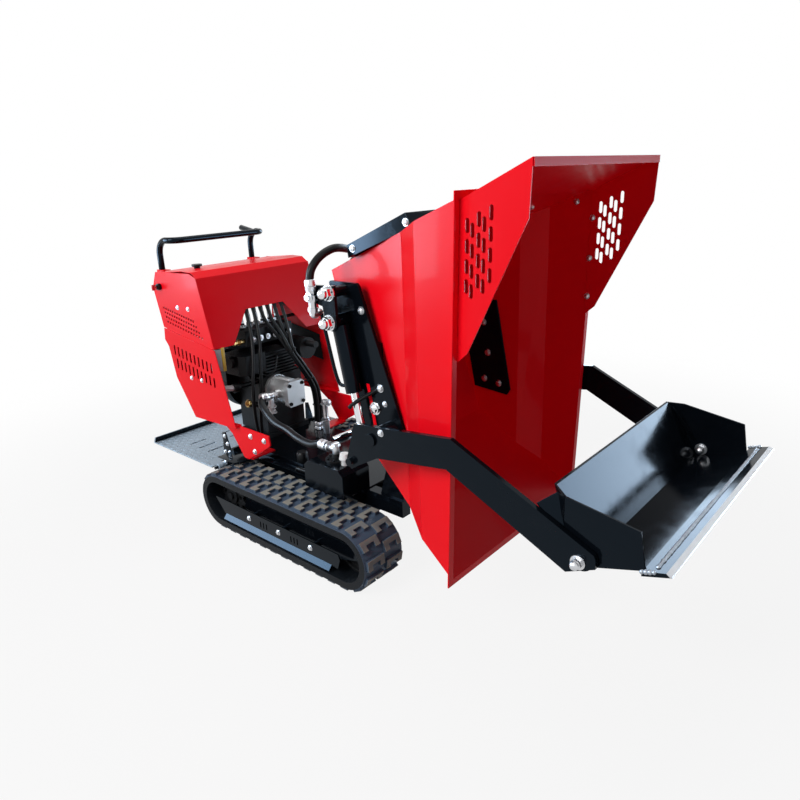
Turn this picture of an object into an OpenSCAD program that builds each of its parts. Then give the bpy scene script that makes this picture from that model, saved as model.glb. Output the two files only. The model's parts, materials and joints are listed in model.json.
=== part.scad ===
// Tracked power carrier with a tipping skip and a self-loading shovel.
// +X is forward, +Z is up, the ground is Z = 0. The skip is modelled tipped forward.

/* [Tracks] */
// Distance between the sprocket and idler axles
track_base = 686; // [620:1:720]
// Place of the sprocket axle behind the origin
sprocket_x = -548; // [-570:1:-530]
// Outer radius of the belt carcass round its wheels
belt_r = 105; // [100:1:110]
// Thickness of the belt carcass
belt_t = 26; // [22:1:28]
// Height of the tread lugs
lug_h = 12; // [9:1:16]
// Number of lugs round one belt
lug_count = 33; // [26:1:36]
// Width of a belt
belt_w = 180; // [165:1:190]
// Distance from the middle of the machine to a belt's outer edge
track_half_w = 385; // [378:1:392]
// Radius of a track roller
roller_r = 30; // [26:1:32]
// Width of a track roller
roller_w = 56; // [48:1:60]
// Number of teeth on a drive sprocket
sprocket_teeth = 11; // [9:1:13]
// Thickness of the sprocket disc
sprocket_w = 40; // [30:1:44]

/* [Chassis] */
// Height of the rails' underside above the ground
rail_z = 205; // [200:1:212]
// Height of a chassis rail
rail_h = 60; // [50:1:70]
// Width of a chassis rail
rail_w = 40; // [30:1:44]
// Distance from the middle to a rail's inner face
rail_y = 130; // [124:1:136]
// Rear end of the rails
rail_back = -640; // [-650:1:-625]
// Front end of the rails
rail_front = 222; // [216:1:230]
// Thickness of the deck sheet
deck_t = 4; // [3:0.5:6]
// Radius of the shaft that the skip tips about
shaft_r = 14; // [12:0.5:16]

/* [Console] */
// Distance from the middle to the outer face of a side panel
console_half_w = 281; // [270:1:290]
// Thickness of the console sheet metal
sheet_t = 3; // [2:0.5:4]
// Height of the cut-out in the front cover above its lower edge
cutout_h = 122; // [100:1:135]
// Half width of the cut-out at its foot
cutout_foot = 188; // [170:1:200]
// Half width of the cut-out at its head
cutout_head = 94; // [80:1:110]
// Radius of the handlebar tube
bar_r = 12.5; // [10:0.5:14]
// Height of the grip above the console's feet for the bar
bar_rise = 97; // [85:1:110]
// Distance from the middle to a handlebar leg
bar_leg_y = 226; // [215:1:235]

/* [Platform] */
// Length of the foot platform
platform_len = 471; // [440:1:480]
// Half width of the foot platform
platform_half_w = 290; // [270:1:300]
// Height of the platform's hinge pin
platform_z = 178; // [170:1:190]
// Thickness of the tread sheet
platform_t = 5; // [4:0.5:7]

/* [Skip] */
// Length of the skip floor
floor_len = 599; // [580:1:610]
// Lean of the tipped floor from the vertical
floor_lean = 18.2; // [17.5:0.1:19]
// Place of the floor's front edge, forward
floor_front_x = 226; // [222:1:232]
// Height of the floor's front edge
floor_front_z = 466; // [462:1:474]
// Place of the lip at the front of the rim, forward
lip_x = 569; // [560:1:576]
// Height of the lip at the front of the rim
lip_z = 204; // [198:1:212]
// Place of the rear of the rim, forward
brow_x = 601; // [592:1:606]
// Height of the rear of the rim
brow_z = 1250; // [1240:1:1258]
// Half width of the skip at its lower bend
bend_half_w = 305; // [300:0.5:305.5]
// Half width of the skip at its upper bend
flare_half_w = 350; // [344:1:354]
// Half width of the skip inside its rim flange
rim_half_w = 362; // [358:1:366]
// Width of the rim flange
flange_w = 16; // [12:1:20]
// Thickness of the skip sheet
skip_t = 4; // [3:0.5:5]

/* [Spill guard] */
// Reach of the guard in front of the rim
guard_reach = 190; // [170:1:200]
// Height of the whole carrier, at the guard's top edge
overall_height = 1331; // [1310:1:1345]
// Rows of slots in a guard side
slot_rows = 4; // [3:1:4]
// Columns of slots in a guard side
slot_cols = 5; // [3:1:5]
// Length of a guard slot
slot_len = 31; // [24:1:34]
// Width of a guard slot
slot_w = 9; // [6:0.5:10]

/* [Shovel] */
// Reach of the cutting edge's tip in front of the frame's origin
front_reach = 1178; // [1140:1:1200]
// Place of the arm pivot, forward
arm_x = 325; // [322:1:328]
// Height of the arm pivot
arm_z = 596; // [592:1:600]
// Radius of an arm pivot pin
arm_pin_r = 15; // [12:0.5:17]
// Depth of an arm plate
arm_depth = 86; // [78:1:92]
// Thickness of an arm plate
arm_t = 14; // [10:1:16]
// Distance from the middle to an arm's inner face
arm_y = 397; // [395:1:400]
// Half width of the shovel pan
pan_half_w = 394; // [385:1:394]
// Thickness of the shovel sheet
pan_t = 5; // [4:0.5:6]
// Half width of the cutting edge
edge_half_w = 418; // [405:1:422]
// Thickness of the cutting edge
edge_t = 12; // [10:1:14]
// Length of the cutting edge along the floor
edge_len = 67; // [60:1:72]

/* [Cylinders] */
// Outer radius of a lift cylinder barrel
lift_barrel_r = 25; // [22:0.5:26]
// Radius of a lift cylinder rod
lift_rod_r = 12.5; // [10:0.5:14]
// Length of a lift cylinder barrel below its pin
lift_barrel_len = 215; // [205:1:225]
// Distance from the middle to a lift cylinder's axis
lift_y = 344; // [343:0.5:345]
// Outer radius of the tip cylinder barrel
tip_barrel_r = 30; // [26:0.5:32]
// Radius of the tip cylinder rod
tip_rod_r = 16; // [13:0.5:18]
// Length of the tip cylinder barrel from its pin
tip_barrel_len = 290; // [275:1:295]

/* [Fits] */
// Radial running clearance of a pin in its bore
fit = 0.05; // [0.03:0.01:0.09]
// Gap left between pieces that pass each other
gap = 2; // [1:0.5:2.5]

/* [Hidden] */
$fn = 48;

// Track places worked out from the driving sizes
wheel_z = belt_r + lug_h;
idler_x = sprocket_x + track_base;
belt_in_r = belt_r - belt_t;
belt_y = track_half_w - belt_w / 2;
wheel_r = belt_in_r - 0.5;
roller_z = wheel_z - belt_in_r + roller_r + 0.5;
roller_pin_r = 10;
wheel_pin_r = 15;
cheek_t = 8;
cheek_y = roller_w / 2 + 1;
belt_run = PI * belt_r;
belt_loop = 2 * track_base + 2 * belt_run;
lug_pitch = belt_loop / lug_count;
roller_xs = [for (k = [1:3]) sprocket_x + track_base * k / 4];

// Chassis places
rail_top = rail_z + rail_h;
deck_z = rail_top + deck_t;
tip_x = 195;
tip_z = 432;
hinge_lug_y = rail_y;
hinge_lug_t = 18;
hinge_cheek_y = hinge_lug_y + hinge_lug_t + gap;
hinge_cheek_t = 12;
hinge_boss_r = 26;
axle_xs = [sprocket_x + 150, idler_x - 200];
axle_half = 30;

// Skip corners in the XZ plane
floor_dir = [-sin(floor_lean), cos(floor_lean)];
floor_front = [floor_front_x, floor_front_z];
floor_rear = floor_front + floor_len * floor_dir;
lip = [lip_x, lip_z];
brow = [brow_x, brow_z];
low_bend_x = 371;
high_bend_x = 452;
wall_slope = 0.168;

// Tip cylinder pins
tip_foot = [140, 360];
tip_head = [57, 787];
tip_eye_r = 20;
tip_pin_r = 12;
tip_eye_w = 34;
tip_cheek_t = 10;
tip_dir = (tip_head - tip_foot) / norm(tip_head - tip_foot);
tip_len = norm(tip_head - tip_foot);
tip_lean = atan2(tip_dir[0], tip_dir[1]);
tip_rod_start = 160;

// Arm, lift frame and lift cylinder places
arm_pivot = [arm_x, arm_z];
tail_pin = arm_pivot + [-83, -87];
lift_top = [159, 909];
lift_dir = (tail_pin - lift_top) / norm(tail_pin - lift_top);
lift_len = norm(tail_pin - lift_top);
lift_lean = atan2(lift_dir[0], -lift_dir[1]);
lift_rod_start = 110;
lift_eye_r = 20;
lift_eye_w = 28;
lift_pin_r = 12;
frame_t = 10;
frame_y = lift_y - lift_barrel_r - 3 - frame_t;
outer_plate_y = lift_y + lift_barrel_r + 3;
spacer_pin = [163, 995];
hose_pin = [104, 980];
boss_r = 28;
pad_zs = [650, 790];

// Shovel outline in the XZ plane
pan_slope = [144, 46];
edge_dir = pan_slope / norm(pan_slope);
pan_toe = [front_reach - edge_len * edge_dir[0], 474];
pan_heel = pan_toe - pan_slope;
pan_back = pan_toe + [-241, 127];
pan_peak = pan_toe + [-16, 90];
arm_end = pan_toe - [147, 26];
arm_knee = arm_pivot + [272, 25];
ear_tip = pan_back + [-27, -46];
ear_foot = arm_end + [48, 18];

// Console outline in the XZ plane
upper_outline = [[-951, 969], [-985, 906], [-946, 746], [-605, 697], [-670, 961], [-713, 977]];
lower_outline = [[-946, 742], [-953, 694], [-930, 668], [-903, 539], [-801, 384], [-524, 393], [-605, 693]];
cover_foot = [-605, 697];
cover_head = [-670, 961];
cover_top = [-702, 982];
dash_front = [-762, 984];
dash_rear = [-946, 968];
rear_mid = [-980, 907];
rear_foot = [-949, 780];
leg_foot_x = -990;
leg_foot_z = dash_rear[1] + 22;
lever_ys = [-105, -35, 35, 105];
lever_pin = [-925, 862];
button_r = 12;
button_y = 91 - console_half_w;

// Engine bay places
engine_x = -665;
engine_y = 20;
engine_base = deck_z + 22;
crank_z = 485;
pump_face_x = -448;
pump_y = -30;
valve_z = 672;
valve_x = -680;
valve_ys = [-90, -54, -18, 18, 54, 90];

// Platform places
platform_pin_x = -705;
platform_rear = platform_pin_x - platform_len;

// Helpers

// Mirrors what is drawn on the left to the right when side is below zero
module on_side(side) {
    if (side > 0) children();
    else mirror([0, 1, 0]) children();
}

// Draws children on both sides
module both_sides() {
    for (side = [-1, 1]) on_side(side) children();
}

// Extrudes an XZ outline from y0 over a thickness
module plate_y(y0, thick) {
    translate([0, y0 + thick, 0]) rotate([90, 0, 0]) linear_extrude(thick) children();
}

// Extrudes a YZ outline from x0 to x1
module bar_x(x0, x1) {
    translate([x0, 0, 0]) rotate([90, 0, 90]) linear_extrude(x1 - x0) children();
}

// Cylinder along Y through an XZ point
module rod_y(at, y0, y1, r) {
    translate([at[0], y1, at[1]]) rotate([90, 0, 0]) cylinder(r = r, h = y1 - y0);
}

// Cylinder along X through a YZ point
module rod_x(y, z, x0, x1, r) {
    translate([x0, y, z]) rotate([0, 90, 0]) cylinder(r = r, h = x1 - x0);
}

// Box from two corners
module box(low, high) {
    translate(low) cube(high - low);
}

// Flat disc outline at an XZ point
module spot(at, r) {
    translate(at) circle(r);
}

// Straight line moved to its left by a distance
function moved(p, q, d) = let (u = (q - p) / norm(q - p), n = [-u[1], u[0]]) [p + n * d, q + n * d];

// Crossing point of two lines given by point pairs
function meet(a, b) =
    let (d = a[1] - a[0], e = b[1] - b[0], f = b[0] - a[0],
         k = (f[0] * e[1] - f[1] * e[0]) / (d[0] * e[1] - d[1] * e[0])) a[0] + k * d;

// Point of a line at a given first coordinate
function line_at(line, x) =
    let (k = (x - line[0][0]) / (line[1][0] - line[0][0])) line[0] + k * (line[1] - line[0]);

// Swept tube along hand-chosen points
function along(pts, i) = let (a = pts[max(i - 1, 0)], b = pts[min(i + 1, len(pts) - 1)]) (b - a) / norm(b - a);
function sideways(t) = let (c = cross(t, abs(t[2]) < 0.9 ? [0, 0, 1] : [1, 0, 0])) c / norm(c);
function ring(p, t, r, n) =
    let (u = sideways(t), v = cross(t, u)) [for (k = [0:n - 1]) p + r * (cos(360 * k / n) * u + sin(360 * k / n) * v)];

module tube(pts, r, n = 8) {
    m = len(pts);
    verts = [for (i = [0:m - 1]) each ring(pts[i], along(pts, i), r, n)];
    walls = [for (i = [0:m - 2]) for (k = [0:n - 1])
        let (a = i * n + k, b = i * n + (k + 1) % n) each [[a, a + n, b], [b, a + n, b + n]]];
    ends = [[for (k = [0:n - 1]) k], [for (k = [n - 1:-1:0]) (m - 1) * n + k]];
    polyhedron(verts, concat(walls, ends));
}

// Tracks

// Place and outward angle on the belt loop at a distance along it
function loop_at(s) =
    let (c = track_base + belt_run)
    s < track_base ? [sprocket_x + s, wheel_z - belt_r, -90] :
    s < c ? let (a = (s - track_base) / belt_r * 180 / PI - 90)
        [idler_x + belt_r * cos(a), wheel_z + belt_r * sin(a), a] :
    s < c + track_base ? [idler_x - (s - c), wheel_z + belt_r, 90] :
    let (a = (s - c - track_base) / belt_r * 180 / PI + 90)
        [sprocket_x + belt_r * cos(a), wheel_z + belt_r * sin(a), a];

// Long round-ended outline of the belt at a radius
module belt_loop_outline(r) {
    spot([sprocket_x, wheel_z], r);
    spot([idler_x, wheel_z], r);
    translate([sprocket_x, wheel_z - r]) square([track_base, 2 * r]);
}

// Footprint of one lug, a C open along the belt, from v0 to v1 across it
module lug_footprint(v0, v1) {
    half = lug_pitch * 0.28;
    web = lug_pitch * 0.26;
    horn = (v1 - v0) * 0.27;
    polygon([[-half, v0], [half, v0], [half, v0 + horn], [web - half, v0 + horn], [web - half, v1 - horn],
        [half, v1 - horn], [half, v1], [-half, v1]]);
}

module track_belt(side) {
    edge = side > 0 ? track_half_w - belt_w : -track_half_w;
    sink = 4;
    rows = [[0.045, 0.47, 0], [0.53, 0.955, 0.5]];
    color("#2c2d2f") {
        plate_y(edge, belt_w) difference() {
            belt_loop_outline(belt_r);
            belt_loop_outline(belt_in_r);
        }
        for (row = rows) for (k = [0:lug_count - 1])
            let (p = loop_at((k + row[2]) * lug_pitch), rise = abs(p[2]) == 90 ? lug_h : lug_h - 1.6)
                translate([p[0], edge, p[1]]) rotate([0, 90 - p[2], 0]) translate([0, 0, -sink])
                    linear_extrude(rise + sink) lug_footprint(belt_w * row[0], belt_w * row[1]);
    }
}

module track_belt_right() { track_belt(-1); }
module track_belt_left() { track_belt(1); }

// Toothed outline of a drive sprocket
module sprocket_outline() {
    root = wheel_r - 14;
    step = 360 / sprocket_teeth;
    polygon([for (k = [0:sprocket_teeth - 1])
        for (q = [[0.14, root], [0.38, wheel_r], [0.62, wheel_r], [0.86, root]])
            q[1] * [cos(step * (k + q[0])), sin(step * (k + q[0]))]]);
}

module sprocket(side) {
    lighten = 9;
    color("#3a3b3d") on_side(side) difference() {
        union() {
            plate_y(belt_y - sprocket_w / 2, sprocket_w)
                translate([sprocket_x, wheel_z]) sprocket_outline();
            rod_y([sprocket_x, wheel_z], belt_y - sprocket_w / 2, belt_y + sprocket_w / 2 + 8, 34);
        }
        rod_y([sprocket_x, wheel_z], belt_y - belt_w, belt_y + belt_w, wheel_pin_r + fit);
        for (k = [0:5]) rod_y([sprocket_x + 48 * cos(60 * k), wheel_z + 48 * sin(60 * k)],
            belt_y - belt_w, belt_y + belt_w, lighten);
    }
}

module sprocket_right() { sprocket(-1); }
module sprocket_left() { sprocket(1); }

// Front idler with a dished face
module idler(side) {
    half = roller_w / 2;
    color("#36373a") on_side(side) translate([idler_x, belt_y, wheel_z]) rotate([90, 0, 0]) rotate_extrude($fn = 64)
        polygon([[wheel_pin_r + fit, -half], [34, -half], [40, -half + 12], [62, -half + 12], [66, -half],
            [wheel_r - 4, -half], [wheel_r, -half + 5], [wheel_r, half - 5], [wheel_r - 4, half], [66, half],
            [62, half - 12], [40, half - 12], [34, half], [wheel_pin_r + fit, half]]);
}

module idler_right() { idler(-1); }
module idler_left() { idler(1); }

// Bottom roller with two treads and a waist
module roller(side, k) {
    half = roller_w / 2;
    color("#303133") on_side(side) translate([roller_xs[k], belt_y, roller_z]) rotate([90, 0, 0]) rotate_extrude($fn = 48)
        polygon([[roller_pin_r + fit, -half], [roller_r - 2, -half], [roller_r, -half + 3], [roller_r, -8],
            [roller_r - 9, -5], [roller_r - 9, 5], [roller_r, 8], [roller_r, half - 3], [roller_r - 2, half],
            [roller_pin_r + fit, half]]);
}

module roller_right_rear() { roller(-1, 0); }
module roller_right_middle() { roller(-1, 1); }
module roller_right_front() { roller(-1, 2); }
module roller_left_rear() { roller(1, 0); }
module roller_left_middle() { roller(1, 1); }
module roller_left_front() { roller(1, 2); }

// Outline of a roller cheek, long enough to hold the idler
module cheek_outline(back) {
    top = roller_z + roller_r + 48;
    polygon([[back, wheel_z - 12], [roller_xs[0] - 40, roller_z - 16], [roller_xs[2] + 40, roller_z - 16],
        [idler_x + 24, wheel_z - 22], [idler_x + 24, wheel_z + 22], [roller_xs[2] + 60, top], [back + 20, top]]);
}

module track_frame() {
    beam_low = roller_z + roller_r + 4;
    beam_top = roller_z + roller_r + 48;
    outer_back = sprocket_x + belt_in_r + 16;
    inner_back = sprocket_x + 40;
    plate_y(belt_y + cheek_y, cheek_t) cheek_outline(outer_back);
    plate_y(belt_y - cheek_y - cheek_t, cheek_t) difference() {
        union() {
            cheek_outline(inner_back);
            spot([sprocket_x, wheel_z], 66);
        }
        spot([sprocket_x, wheel_z], 46);
    }
    box([sprocket_x + belt_in_r + 20, belt_y - cheek_y, beam_low], [idler_x - belt_in_r - 8, belt_y + cheek_y, beam_top]);
    for (x = roller_xs) rod_y([x, roller_z], belt_y - cheek_y, belt_y + cheek_y, roller_pin_r);
    rod_y([idler_x, wheel_z], belt_y - cheek_y, belt_y + cheek_y, wheel_pin_r);
}

module track_frames() {
    color("#1c1d1f") both_sides() track_frame();
}

// Guard plate over the rollers, on stand-offs, with its lower flange turned outward
module track_guard() {
    foot = belt_y + cheek_y + cheek_t;
    thick = 4;
    face = track_half_w - 15;
    low = wheel_z - belt_in_r + 24;
    bolt_z = roller_z + roller_r - 5.5;
    plate_y(face - thick, thick) difference() {
        polygon([[sprocket_x - 39, low + 62], [idler_x - 34, low + 56], [idler_x - 26, low + 36],
            [idler_x - 38, low], [sprocket_x + 18, low]]);
        for (x = roller_xs) for (k = [0.4, 0.5, 0.6]) if (x < roller_xs[2])
            translate([x + track_base / 4 * k - 3, bolt_z - 15]) square([6, 24]);
    }
    bar_x(sprocket_x + 23, idler_x - 68) polygon([[face - thick, low + 4], [face, low + 4],
        [track_half_w, low - 13], [track_half_w - 3, low - 16], [face - thick, low]]);
    for (x = roller_xs) rod_y([x, bolt_z], foot, face - thick, 12);
}

module track_guards() {
    color("#202124") both_sides() track_guard();
}

// Hydraulic drive motor with its shaft, inside the sprocket
module drive_motor() {
    inner = belt_y - cheek_y - cheek_t;
    rod_y([sprocket_x, wheel_z], inner - 58, inner, 56);
    rod_y([sprocket_x, wheel_z], inner, belt_y - cheek_y, 45);
    rod_y([sprocket_x, wheel_z], belt_y - cheek_y, belt_y + sprocket_w / 2 + 16, wheel_pin_r);
}

module drive_motors() {
    color("#26272a") both_sides() drive_motor();
}

// Chassis

// Outline of a cheek that carries the skip shaft
module hinge_cheek() {
    difference() {
        union() {
            polygon([[tip_x - 95, rail_z], [rail_front, rail_z], [tip_x + hinge_boss_r, tip_z], [tip_x - hinge_boss_r, tip_z]]);
            spot([tip_x, tip_z], hinge_boss_r);
        }
        spot([tip_x, tip_z], shaft_r);
    }
}

// Outline of a cheek that carries the foot of the tip cylinder
module foot_cheek() {
    difference() {
        union() {
            polygon([[tip_foot[0] - 28, rail_top], [tip_foot[0] + 28, rail_top],
                [tip_foot[0] + 18, tip_foot[1]], [tip_foot[0] - 18, tip_foot[1]]]);
            spot(tip_foot, 18);
        }
        spot(tip_foot, tip_pin_r);
    }
}

module chassis_frame() {
    cross_xs = [rail_back, -330, tip_foot[0] - 30];
    color("#17181a") {
        both_sides() {
            difference() {
                box([rail_back, rail_y, rail_z], [rail_front, rail_y + rail_w, rail_top]);
                plate_y(hinge_cheek_y, hinge_cheek_t) hinge_cheek();
            }
            plate_y(hinge_cheek_y, hinge_cheek_t) hinge_cheek();
            plate_y(tip_eye_w / 2 + 1, tip_cheek_t) foot_cheek();
            for (x = axle_xs) box([x - axle_half, rail_y, wheel_z + axle_half], [x + axle_half, rail_y + rail_w, rail_z]);
        }
        for (x = cross_xs) box([x, -rail_y, rail_z], [x + 60, rail_y, rail_top]);
        for (x = axle_xs) box([x - axle_half, cheek_t + cheek_y - belt_y, wheel_z - axle_half],
            [x + axle_half, belt_y - cheek_y - cheek_t, wheel_z + axle_half]);
        rod_y(tip_foot, -tip_eye_w / 2 - 1, tip_eye_w / 2 + 1, tip_pin_r);
        box([rail_back, -rail_y - rail_w, rail_top], [60, rail_y + rail_w, deck_z]);
    }
}

module skip_shaft() {
    color("#8d9094") rod_y([tip_x, tip_z], -hinge_cheek_y - hinge_cheek_t - 6, hinge_cheek_y + hinge_cheek_t + 6, shaft_r);
}

// Oil tank beside the engine, with sloping shoulders
module hydraulic_tank() {
    color("#141517") plate_y(-285, 130) polygon([[-130, deck_z], [60, deck_z], [60, 352], [40, 372], [-110, 372], [-130, 352]]);
}

module tank_cover() {
    color("#1f2023") translate([-30, -222, 372]) {
        cylinder(r = 38, h = 8);
        cylinder(r = 15, h = 26);
        for (k = [0:5]) rotate(60 * k) translate([29, 0, 8]) cylinder(r = 6, h = 5, $fn = 6);
    }
}

module breather_cap() {
    color("#d8dadc") translate([22, -232, 372]) {
        cylinder(r = 12, h = 22);
        translate([0, 0, 22]) cylinder(r1 = 19, r2 = 15, h = 20, $fn = 48);
    }
}

module bumpers() {
    color("#222325") both_sides() translate([-300, rail_y + 20, deck_z]) {
        cylinder(r = 22, h = 34);
        translate([0, 0, 34]) cylinder(r1 = 22, r2 = 17, h = 8, $fn = 48);
    }
}

// Engine

module engine_block() {
    fins = 7;
    color("#2a2b2d") {
        box([engine_x - 95, engine_y - 110, engine_base - 22], [engine_x + 75, engine_y + 120, engine_base]);
        difference() {
            box([engine_x - 110, engine_y - 95, engine_base], [engine_x + 70, engine_y + 105, 530]);
            rod_y([engine_x, 540], engine_y - 200, engine_y + 200, 30);
        }
        rod_x(engine_y - 50, crank_z, engine_x + 70, engine_x + 88, 62);
        for (k = [0:fins - 1]) box([engine_x - 60, engine_y - 70, 536 + 13 * k], [engine_x + 66, engine_y + 90, 542 + 13 * k]);
        box([engine_x - 45, engine_y - 55, 530], [engine_x + 50, engine_y + 75, 536 + 13 * fins]);
        rod_x(engine_y - 80, 400, engine_x + 70, engine_x + 92, 16);
    }
}

// Cooling shroud behind the cylinder
module engine_shroud() {
    back = engine_x - 190;
    front = engine_x - 110;
    color("#1a1b1d") difference() {
        union() {
            rod_x(engine_y, 500, back + 20, front, 150);
            box([back + 20, engine_y - 150, 500], [front, engine_y + 150, 640]);
            rod_x(engine_y, 500, back, back + 20, 118);
        }
        for (k = [0:11]) rotate_about_x(engine_y, 500, 30 * k)
            box([back - 1, engine_y - 5, 540], [back + 12, engine_y + 5, 600]);
        box([back, engine_y - 200, 300], [front + 1, engine_y + 200, engine_base + 60]);
    }
}

// Turns children about an axis along X
module rotate_about_x(y, z, angle) {
    translate([0, y, z]) rotate([angle, 0, 0]) translate([0, -y, -z]) children();
}

module fuel_tank() {
    low = 650.1;
    tall = 46;
    color("#1d1e20") {
        difference() {
            box([engine_x - 210, engine_y - 150, low], [engine_x - 70, engine_y + 150, low + tall]);
            for (side = [-1, 1]) translate([engine_x - 140, engine_y + side * 150, low + tall]) rotate([45, 0, 0])
                cube([160, 26, 26], center = true);
        }
        translate([engine_x - 150, engine_y + 60, low + tall]) cylinder(r = 28, h = 16);
    }
}

module muffler() {
    color("#55575a") {
        rod_x(engine_y + 150, 610, engine_x - 62, engine_x + 78, 46);
        rod_x(engine_y + 150, 632, engine_x + 78, engine_x + 132, 14);
        box([engine_x - 30, engine_y + 90, 580], [engine_x + 30, engine_y + 110, 624]);
    }
}

module air_cleaner() {
    color("#151618") {
        difference() {
            box([engine_x - 66, engine_y - 190, 560], [engine_x + 66, engine_y - 70, 640]);
            for (side = [-1, 1]) translate([engine_x + side * 66, engine_y - 190, 612]) rotate([0, 0, 45])
                cube([30, 30, 120], center = true);
        }
        rod_y([engine_x, 612], engine_y - 204, engine_y - 190, 24);
    }
}

// Gear pump on the engine's output end
module gear_pump() {
    half = 44;
    root = engine_x + 88;
    plate = 22;
    color("#b9bcbf") {
        difference() {
            union() {
                bar_x(root + 14, pump_face_x - plate) {
                    translate([pump_y, crank_z + 14]) circle(42);
                    translate([pump_y, crank_z - 14]) circle(42);
                }
                bar_x(pump_face_x - plate, pump_face_x)
                    translate([pump_y, crank_z]) polygon([[half - 10, half + 8], [half, half - 2], [half, 2 - half],
                        [half - 10, -half - 8], [10 - half, -half - 8], [-half, 2 - half], [-half, half - 2],
                        [10 - half, half + 8]]);
            }
            for (y = [-1, 1]) for (z = [-1, 1])
                rod_x(pump_y + y * 32, crank_z + z * 38, pump_face_x - 5, pump_face_x + 1, 8);
        }
        rod_x(pump_y, crank_z, root, root + 14, 58);
        rod_y([pump_face_x - 60, crank_z], pump_y - 62, pump_y - 40, 18);
    }
}

// Steel hose ends: pump ports, tee pieces, tank elbow and bulkhead nuts
module hydraulic_fittings() {
    color("#c4c7ca") {
        rod_y([pump_face_x - 60, crank_z], pump_y - 96, pump_y - 62, 13);
        translate([pump_face_x - 60, pump_y - 83, crank_z - 70]) cylinder(r = 12, h = 60);
        rod_x(110, 410, pump_face_x + 8, pump_face_x + 30, 10);
        translate([pump_face_x + 8, 110, deck_z + 60]) cylinder(r = 12, h = 90);
        translate([pump_face_x + 8, 110, deck_z]) cylinder(r = 15, h = 60, $fn = 6);
        translate([-30, -222, 398]) cylinder(r = 12, h = 30);
        rod_x(-222, 414, -74, -30, 11);
    }
}

// Spool valve under the console with a row of ports
module control_valve() {
    color("#303236") {
        box([-712, -120, valve_z], [-622, 120, valve_z + 62]);
        for (y = valve_ys) translate([valve_x, y, valve_z + 62]) cylinder(r = 11, h = 20);
        for (y = valve_ys) rod_x(y, valve_z + 26, -622, -608, 10);
        both_sides() box([-712, 105, valve_z + 60], [-700, console_half_w - sheet_t, valve_z + 72]);
    }
}

// Console

// Row of round holes in the XZ plane between two ends
module hole_row(from, to, count, r) {
    for (k = [0:count - 1]) spot(from + (to - from) * k / (count - 1), r);
}

module upper_panel() {
    rows = 4;
    plate_y(console_half_w - sheet_t, sheet_t) difference() {
        polygon(upper_outline);
        for (k = [0:rows - 1]) {
            start = [-722 + 15.3 * k, 794 - 20.7 * k];
            hole_row(start, start + [-202 - 10 * k, 34 + 2 * k], 14, 4.8);
        }
    }
}

module upper_panels() {
    color("#d9151b") both_sides() upper_panel();
}

module lower_panel() {
    cols = 10;
    plate_y(console_half_w - sheet_t, sheet_t) difference() {
        polygon(lower_outline);
        for (k = [0:cols - 1]) for (row = [0, 1])
            translate([-893 + 27.5 * k + row * 9, 637 - 4.4 * k - row * 56]) square([10, 40]);
    }
    plate_y(console_half_w - 2 * sheet_t, sheet_t) polygon([[-930, 718], [-622, 674], [-622, 711], [-930, 756]]);
    plate_y(console_half_w - 30, 30 - sheet_t) polygon([[-790, 390], [-526, 398], [-526, 402], [-790, 394]]);
}

module lower_panels() {
    color("#d9151b") both_sides() lower_panel();
}

// Front cover: one folded sheet with a trapezoid cut-out
module front_cover() {
    half = console_half_w - sheet_t;
    in = [sheet_t, 0];
    color("#c51219") difference() {
        plate_y(-half, 2 * half) polygon([cover_foot, cover_head, cover_top, dash_front, dash_front - [0, sheet_t],
            cover_top - [0, sheet_t], cover_head - in, cover_foot - in]);
        bar_x(cover_foot[0] - 90, cover_foot[0] + 10) polygon([[-cutout_foot, cover_foot[1] - 1], [cutout_foot, cover_foot[1] - 1],
            [cutout_head, cover_foot[1] + cutout_h], [-cutout_head, cover_foot[1] + cutout_h]]);
    }
}

// Dash and operator's side of the console, with a slot for each lever
module console_top() {
    half = console_half_w - sheet_t;
    up = [0, sheet_t];
    in = [sheet_t, 0];
    color("#c9131a") difference() {
        plate_y(-half, 2 * half) polygon([dash_front - in / 3, dash_rear, rear_mid, rear_foot, rear_foot + in,
            rear_mid + in, dash_rear + in - up, dash_front - up - in / 3]);
        for (y = lever_ys) box([-1010, y - 8, 800], [-935, y + 8, 896]);
        translate([-790, button_y, 950]) cylinder(r = button_r + fit, h = 60);
    }
    color("#c9131a") both_sides() difference() {
        box([leg_foot_x - 15.5, bar_leg_y - 15.5, leg_foot_z - 64], [-952, bar_leg_y + 15.5, leg_foot_z - 20]);
        translate([leg_foot_x, bar_leg_y, leg_foot_z - 60]) cylinder(r = bar_r + fit, h = 80);
    }
}

// Bent lever that leaves the console towards the operator
module lever(y) {
    tip = lever_pin + [-120, 66];
    mid = lever_pin + [-72, 20];
    color("#1b1c1e") {
        difference() {
            rod_y(lever_pin, y - 9, y + 9, 14);
            rod_y(lever_pin, y - 10, y + 10, 6 + fit);
        }
        plate_y(y - 5, 10) difference() {
            polygon([lever_pin + [-2, -7], mid + [3, -6], tip + [4, -4], tip + [-4, 4], mid + [-4, 6], lever_pin + [-2, 7]]);
            spot(lever_pin, 12);
        }
        translate([tip[0], y, tip[1]]) rotate([0, -46, 0]) rotate_extrude($fn = 32)
            polygon([[0, -14], [9, -14], [14, -6], [14, 8], [10, 15], [0, 16]]);
    }
}

module drive_lever_right() { lever(lever_ys[0]); }
module drive_lever_left() { lever(lever_ys[1]); }
module tip_lever() { lever(lever_ys[2]); }
module shovel_lever() { lever(lever_ys[3]); }

module stop_button() {
    color("#1a1a1c") translate([-790, button_y, 960]) {
        cylinder(r = button_r, h = 34);
        translate([0, 0, 30]) cylinder(r = button_r + 8, h = 8);
    }
}

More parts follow.
